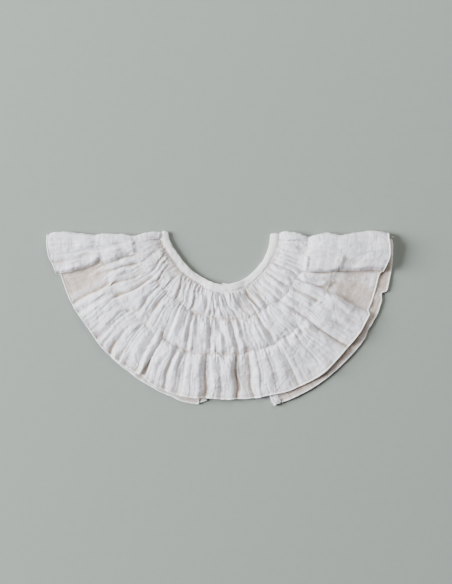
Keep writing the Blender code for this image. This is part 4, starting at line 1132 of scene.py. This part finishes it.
def stitch_line(name, points, ups):
    """Line of stitches that lie on the cloth, each a short thread sinking at both ends."""
    path, along = even_path(points, 0.4)
    up = unit(between(along, np.linspace(0, along[-1], len(ups)), ups))
    arch = np.sin(np.linspace(0, math.pi, 5))
    stitches = []
    for start in np.arange(0.5, along[-1] - STITCH, STITCH + STITCH_GAP):
        spots = np.linspace(start, start + STITCH, len(arch))
        lift = between(spots, along, up)
        middle = between(spots, along, path) + lift * (arch[:, None] * STITCH_ARCH - STITCH_SUNK)
        stitches.append((middle, lift, THREAD_RADIUS * (0.55 + 0.45 * arch)))
    return thread_bits(name, stitches, 5)


def loose_thread():
    """Short loose end of hem thread at the right wing."""
    steps = np.linspace(0.0, 1.0, 24)
    path = np.stack([
        171.6 + 2.4 * steps + 0.5 * np.sin(9 * steps), 80.6 + 1.8 * np.sin(2.6 * steps),
        3.4 - 1.6 * steps + 0.5 * np.sin(7 * steps)], axis=-1)
    turns = np.radians(np.arange(0, 360, 60))
    ring = 0.16 * np.stack([np.cos(turns), np.sin(turns)], axis=-1)
    return swept("loose_hem_thread", path, lambda i: ring, upright(len(path)), THREAD)


def frayed_corner():
    """Loose threads where the turned hem of the right back ends unsewn at its lower corner."""
    draw = np.random.default_rng(77)
    corner_radius = float(read(BACK_HEM, 287.0))
    steps = np.linspace(0.0, 1.0, 6)
    threads = []
    for _ in range(FRAYED_THREADS):
        inset, back = draw.uniform(0.2, 7.4), draw.uniform(0.6, 5.5)
        radius = corner_radius - back
        deg = float(opening_angle(radius, 1)) + math.degrees(inset / radius)
        start = place(deg, radius, draw.uniform(2.2, 3.4))
        heading = math.radians(deg + draw.uniform(-55, 55))
        length, curl = draw.uniform(0.8, 2.2), draw.uniform(-3.6, 3.6)
        bent = heading + curl * steps
        line = start + np.stack([
            length * steps * np.cos(bent), length * steps * np.sin(bent),
            draw.uniform(-0.3, 0.9) * np.sin(2.6 * steps)], axis=-1)
        line[:, 2] = np.maximum(line[:, 2], 0.2)
        threads.append((line, upright(len(steps)), FRAYED_RADIUS * (1.0 - 0.4 * steps)))
    return thread_bits("frayed_corner_threads", threads, 4)


# ---- neck binding --------------------------------------------------------------------------
def binding_path():
    """Sections of the binding from its left end at the centre back round to its right end: middle
    point, the side that faces out, the angle about the neck and whether it is the front layer."""
    path = []
    low, high = BACK_LEFT[0].middle_z, FRONT_LAYER[0].middle_z
    reach = (high - low) / 2
    roll_start, roll_end = LEFT_FOLD + BINDING_ROLLS, RIGHT_FOLD - BINDING_ROLLS

    def run(start, end, stops, facing):
        for deg in np.linspace(start, end, round(abs(end - start) * NECK_MM_PER_DEGREE / BINDING_STEP)):
            middle = read(NECK_EDGE, deg) + BINDING_WIDTH / 2 - read(stops, deg, 2)
            path.append((place(deg, middle, read(stops, deg)), (0.0, 0.0, facing), deg, facing > 0))

    def roll(side, neck, centre, lifts):
        deg = LEFT_FOLD if side < 0 else RIGHT_FOLD
        x = NECK_CENTRE[0] + side * (neck + BINDING_WIDTH / 2)
        for lift in np.radians(lifts):
            facing = (0.0, math.cos(lift), math.sin(lift))
            point = (x, NECK_CENTRE[1] + centre + reach * facing[1], (low + high) / 2 + reach * facing[2])
            path.append((point, facing, deg, lift > 0))

    run(BACK_LEFT[-1].deg, roll_start, BACK_LEFT, -1.0)
    roll(-1, NECK_EDGE[0].radius, LEFT_ROLL_Y, range(-90, 91, 30))
    run(roll_start, roll_end, FRONT_LAYER, 1.0)
    roll(1, NECK_EDGE[-1].radius, RIGHT_ROLL_Y, range(90, -91, -30))
    run(roll_end, BACK_RIGHT[0].deg, BACK_RIGHT, -1.0)
    return path


def neck_binding():
    """The binding as one folded strip: soft edges, a topstitched groove and small puckers."""
    middles, ups, degs, in_front = (np.array(column) for column in zip(*binding_path()))
    along = lengths_along(middles)
    groove, crown, crown_middle, squareness = (
        np.interp(degs, *profile) for profile in (GROOVE, CROWN, CROWN_MIDDLE, SQUARENESS))
    stitch_at = read(TOPSTITCH, degs)
    half, thick = BINDING_WIDTH / 2, BINDING_THICKNESS / 2
    reach = half * np.sin(np.linspace(-math.pi / 2, math.pi / 2, BINDING_POINTS))
    top = thick * (1.0 - np.abs(reach / half) ** 3.4) ** 0.5
    base = -thick * (1.0 - np.abs(reach / half) ** 8) ** 0.5
    outward = place(degs, 1.0, 0.0) - (*NECK_CENTRE, 0.0)
    side = np.sign(np.sum(np.cross(np.gradient(middles, axis=0), ups) * outward, axis=1))

    def section(i):
        out = reach * side[i]
        stitched = groove[i] * fade(out - stitch_at[i], 0.4)
        ridge = 0.35 * groove[i] * fade(out - stitch_at[i] - 1.4, 0.8)
        rounded = crown[i] * fade(out - crown_middle[i], 2.6)
        puckers = noise(along[i] / 1.6, out / 3.0, 31) * PUCKER * np.clip((out + 3.0) / 4.0, 0.2, 1.0)
        rumple = layered(along[i], out, BINDING_RUMPLE)
        body = np.where(out > 0.0, np.maximum(top, squareness[i] * thick), top)
        inside = np.clip((half - np.abs(out)) / 0.8, 0.0, 1.0)
        shaped = body + (rounded + ridge + puckers + rumple - stitched) * inside
        wavy = noise(along[i] / 6.0, 0.0, 33) * WAVER
        x = reach + wavy * side[i] * np.clip(-out / half, 0.0, 1.0)
        return np.concatenate([np.stack([x, shaped], axis=-1), np.stack([x, base], axis=-1)[-2:0:-1]])

    binding = swept("neck_binding_strip", middles, section, ups, BINDING_CLOTH)
    for vertex in binding.data.vertices:
        vertex.co.z = max(vertex.co.z, 0.0)
    sewn = in_front & (degs >= LEFT_FOLD + BINDING_ROLLS) & (degs <= RIGHT_FOLD - BINDING_ROLLS)
    line = place(
        degs[sewn], read(NECK_EDGE, degs[sewn]) + half + stitch_at[sewn], middles[sewn, 2] + thick - 0.3)
    return binding, stitch_line("binding_topstitch", line, ups[sewn])


# ---- putting it together -------------------------------------------------------------------
def finish_piece(piece, slot_name, *nodes):
    """Piece in the collar's one body, hiding the nodes of the part that it replaces; its slot name is not
    used.
    """
    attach(piece, "root")
    if nodes:
        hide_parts(*nodes)
    return piece


def build_fronts():
    """The three front tiers as pieces and as grids of points, and the hem along the last."""
    surfaces = [front_surface(tier, 100 + 20 * number) for number, tier in enumerate(TIERS)]
    meet_at_row(surfaces[0], surfaces[1], ROW_1)
    meet_at_row(surfaces[1], surfaces[2], ROW_2)
    fronts, grids = [], []
    for tier, surface in zip(TIERS, surfaces):
        cloth, points = front_tier(tier, surface)
        fronts.append(finish_piece(cloth, "double_gauze", tier.node))
        grids.append(points)
    hem_ups = grid_normals(soften(grids[-1], 4))[-1]
    front_hem = finish_piece(rolled_hem("front_rolled_hem", grids[-1][-1], hem_ups, 7), "double_gauze")
    return fronts, grids, front_hem


def build_backs():
    """Both back halves, and for each the hems and threads that are sewn to it."""
    backs, sewn_on = [], []
    for side, word in ((-1, "left"), (1, "right")):
        cloth, edge = back_half(f"frill_back_{word}_cloth", side, 300 + side)
        backs.append(finish_piece(cloth, "double_gauze", f"frill_back_{word}"))
        hem = rolled_hem(f"back_rolled_hem_{word}", edge, upright(len(edge)), 8 + side, 0.0)
        strip = opening_hem(f"opening_hem_{word}_cloth", side)
        sewn_on.append([
            finish_piece(hem, "double_gauze"), finish_piece(strip, "double_gauze", f"opening_hem_{word}")])
    sewn_on[1].append(finish_piece(frayed_corner(), "double_gauze"))
    return backs, sewn_on


def build_collar():
    """Every piece of the collar, the cloth that each is cut from and the enamel of the press stud."""
    fronts, grids, front_hem = build_fronts()
    backs, sewn_on = build_backs()
    binding, topstitch = neck_binding()
    finish_piece(binding, "bias_binding", "neck_binding")
    finish_piece(topstitch, "bias_binding")
    thread = finish_piece(loose_thread(), "double_gauze")
    for tier, points in zip(TIERS[1:], grids[1:]):
        # The first two lines of the grid are the seam allowance, so the row is the third.
        line = stitch_line(f"{tier.name}_row_stitches", points[2], grid_normals(soften(points, 4))[2])
        finish_piece(line, "double_gauze")

    snap = bpy.data.objects["neck_snap"]
    snap.data.materials.clear()
    snap.data.materials.append(ENAMEL)


def soft_light(name, place_m, size_m, watts, colour):
    """Square light at a place, turned to the middle of the collar."""
    lamp = bpy.data.lights.new(name, "AREA")
    lamp.size, lamp.energy = size_m, watts
    lamp.color = linear(colour)[:3]
    thing = bpy.data.objects.new(name, lamp)
    thing.location = place_m
    thing.rotation_euler = (-Vector(place_m)).to_track_quat("-Z", "Y").to_euler()
    bpy.context.collection.objects.link(thing)


def build_studio():
    """Plain floor, a broad soft light from the left, a faint one from the top, an even fill and the
    camera."""
    bpy.ops.object.select_all(action="DESELECT")
    bpy.ops.mesh.primitive_plane_add(size=6.0, location=(0.0, 0.0, 0.0))
    floor = bpy.context.object
    floor.name = "studio_floor"
    floor.data.materials.append(CARD)

    soft_light("window_light", (-3.2, 0.31, 1.46), 1.8, 492.0, "#FBFCFF")
    soft_light("second_window", (0.3, 1.7, 1.5), 1.4, 38.0, "#FFFBF6")
    world = bpy.data.worlds.new("pale room")
    bpy.context.scene.world = world
    world.use_nodes = True
    background = world.node_tree.nodes["Background"]
    background.inputs["Color"].default_value = linear("#F6EADF")
    background.inputs["Strength"].default_value = 0.15

    camera = bpy.data.cameras.new("camera")
    holder = bpy.data.objects.new("camera", camera)
    bpy.context.collection.objects.link(holder)
    # 584 mm of the surface fills the picture's height, seen from straight above.
    distance, field, cloth_height = 1.5, 0.584, 0.004
    holder.location = (0.0062, 0.0269, distance)
    camera.lens = camera.sensor_width * (distance - cloth_height) / field
    bpy.context.scene.camera = holder


build_collar()
build_studio()
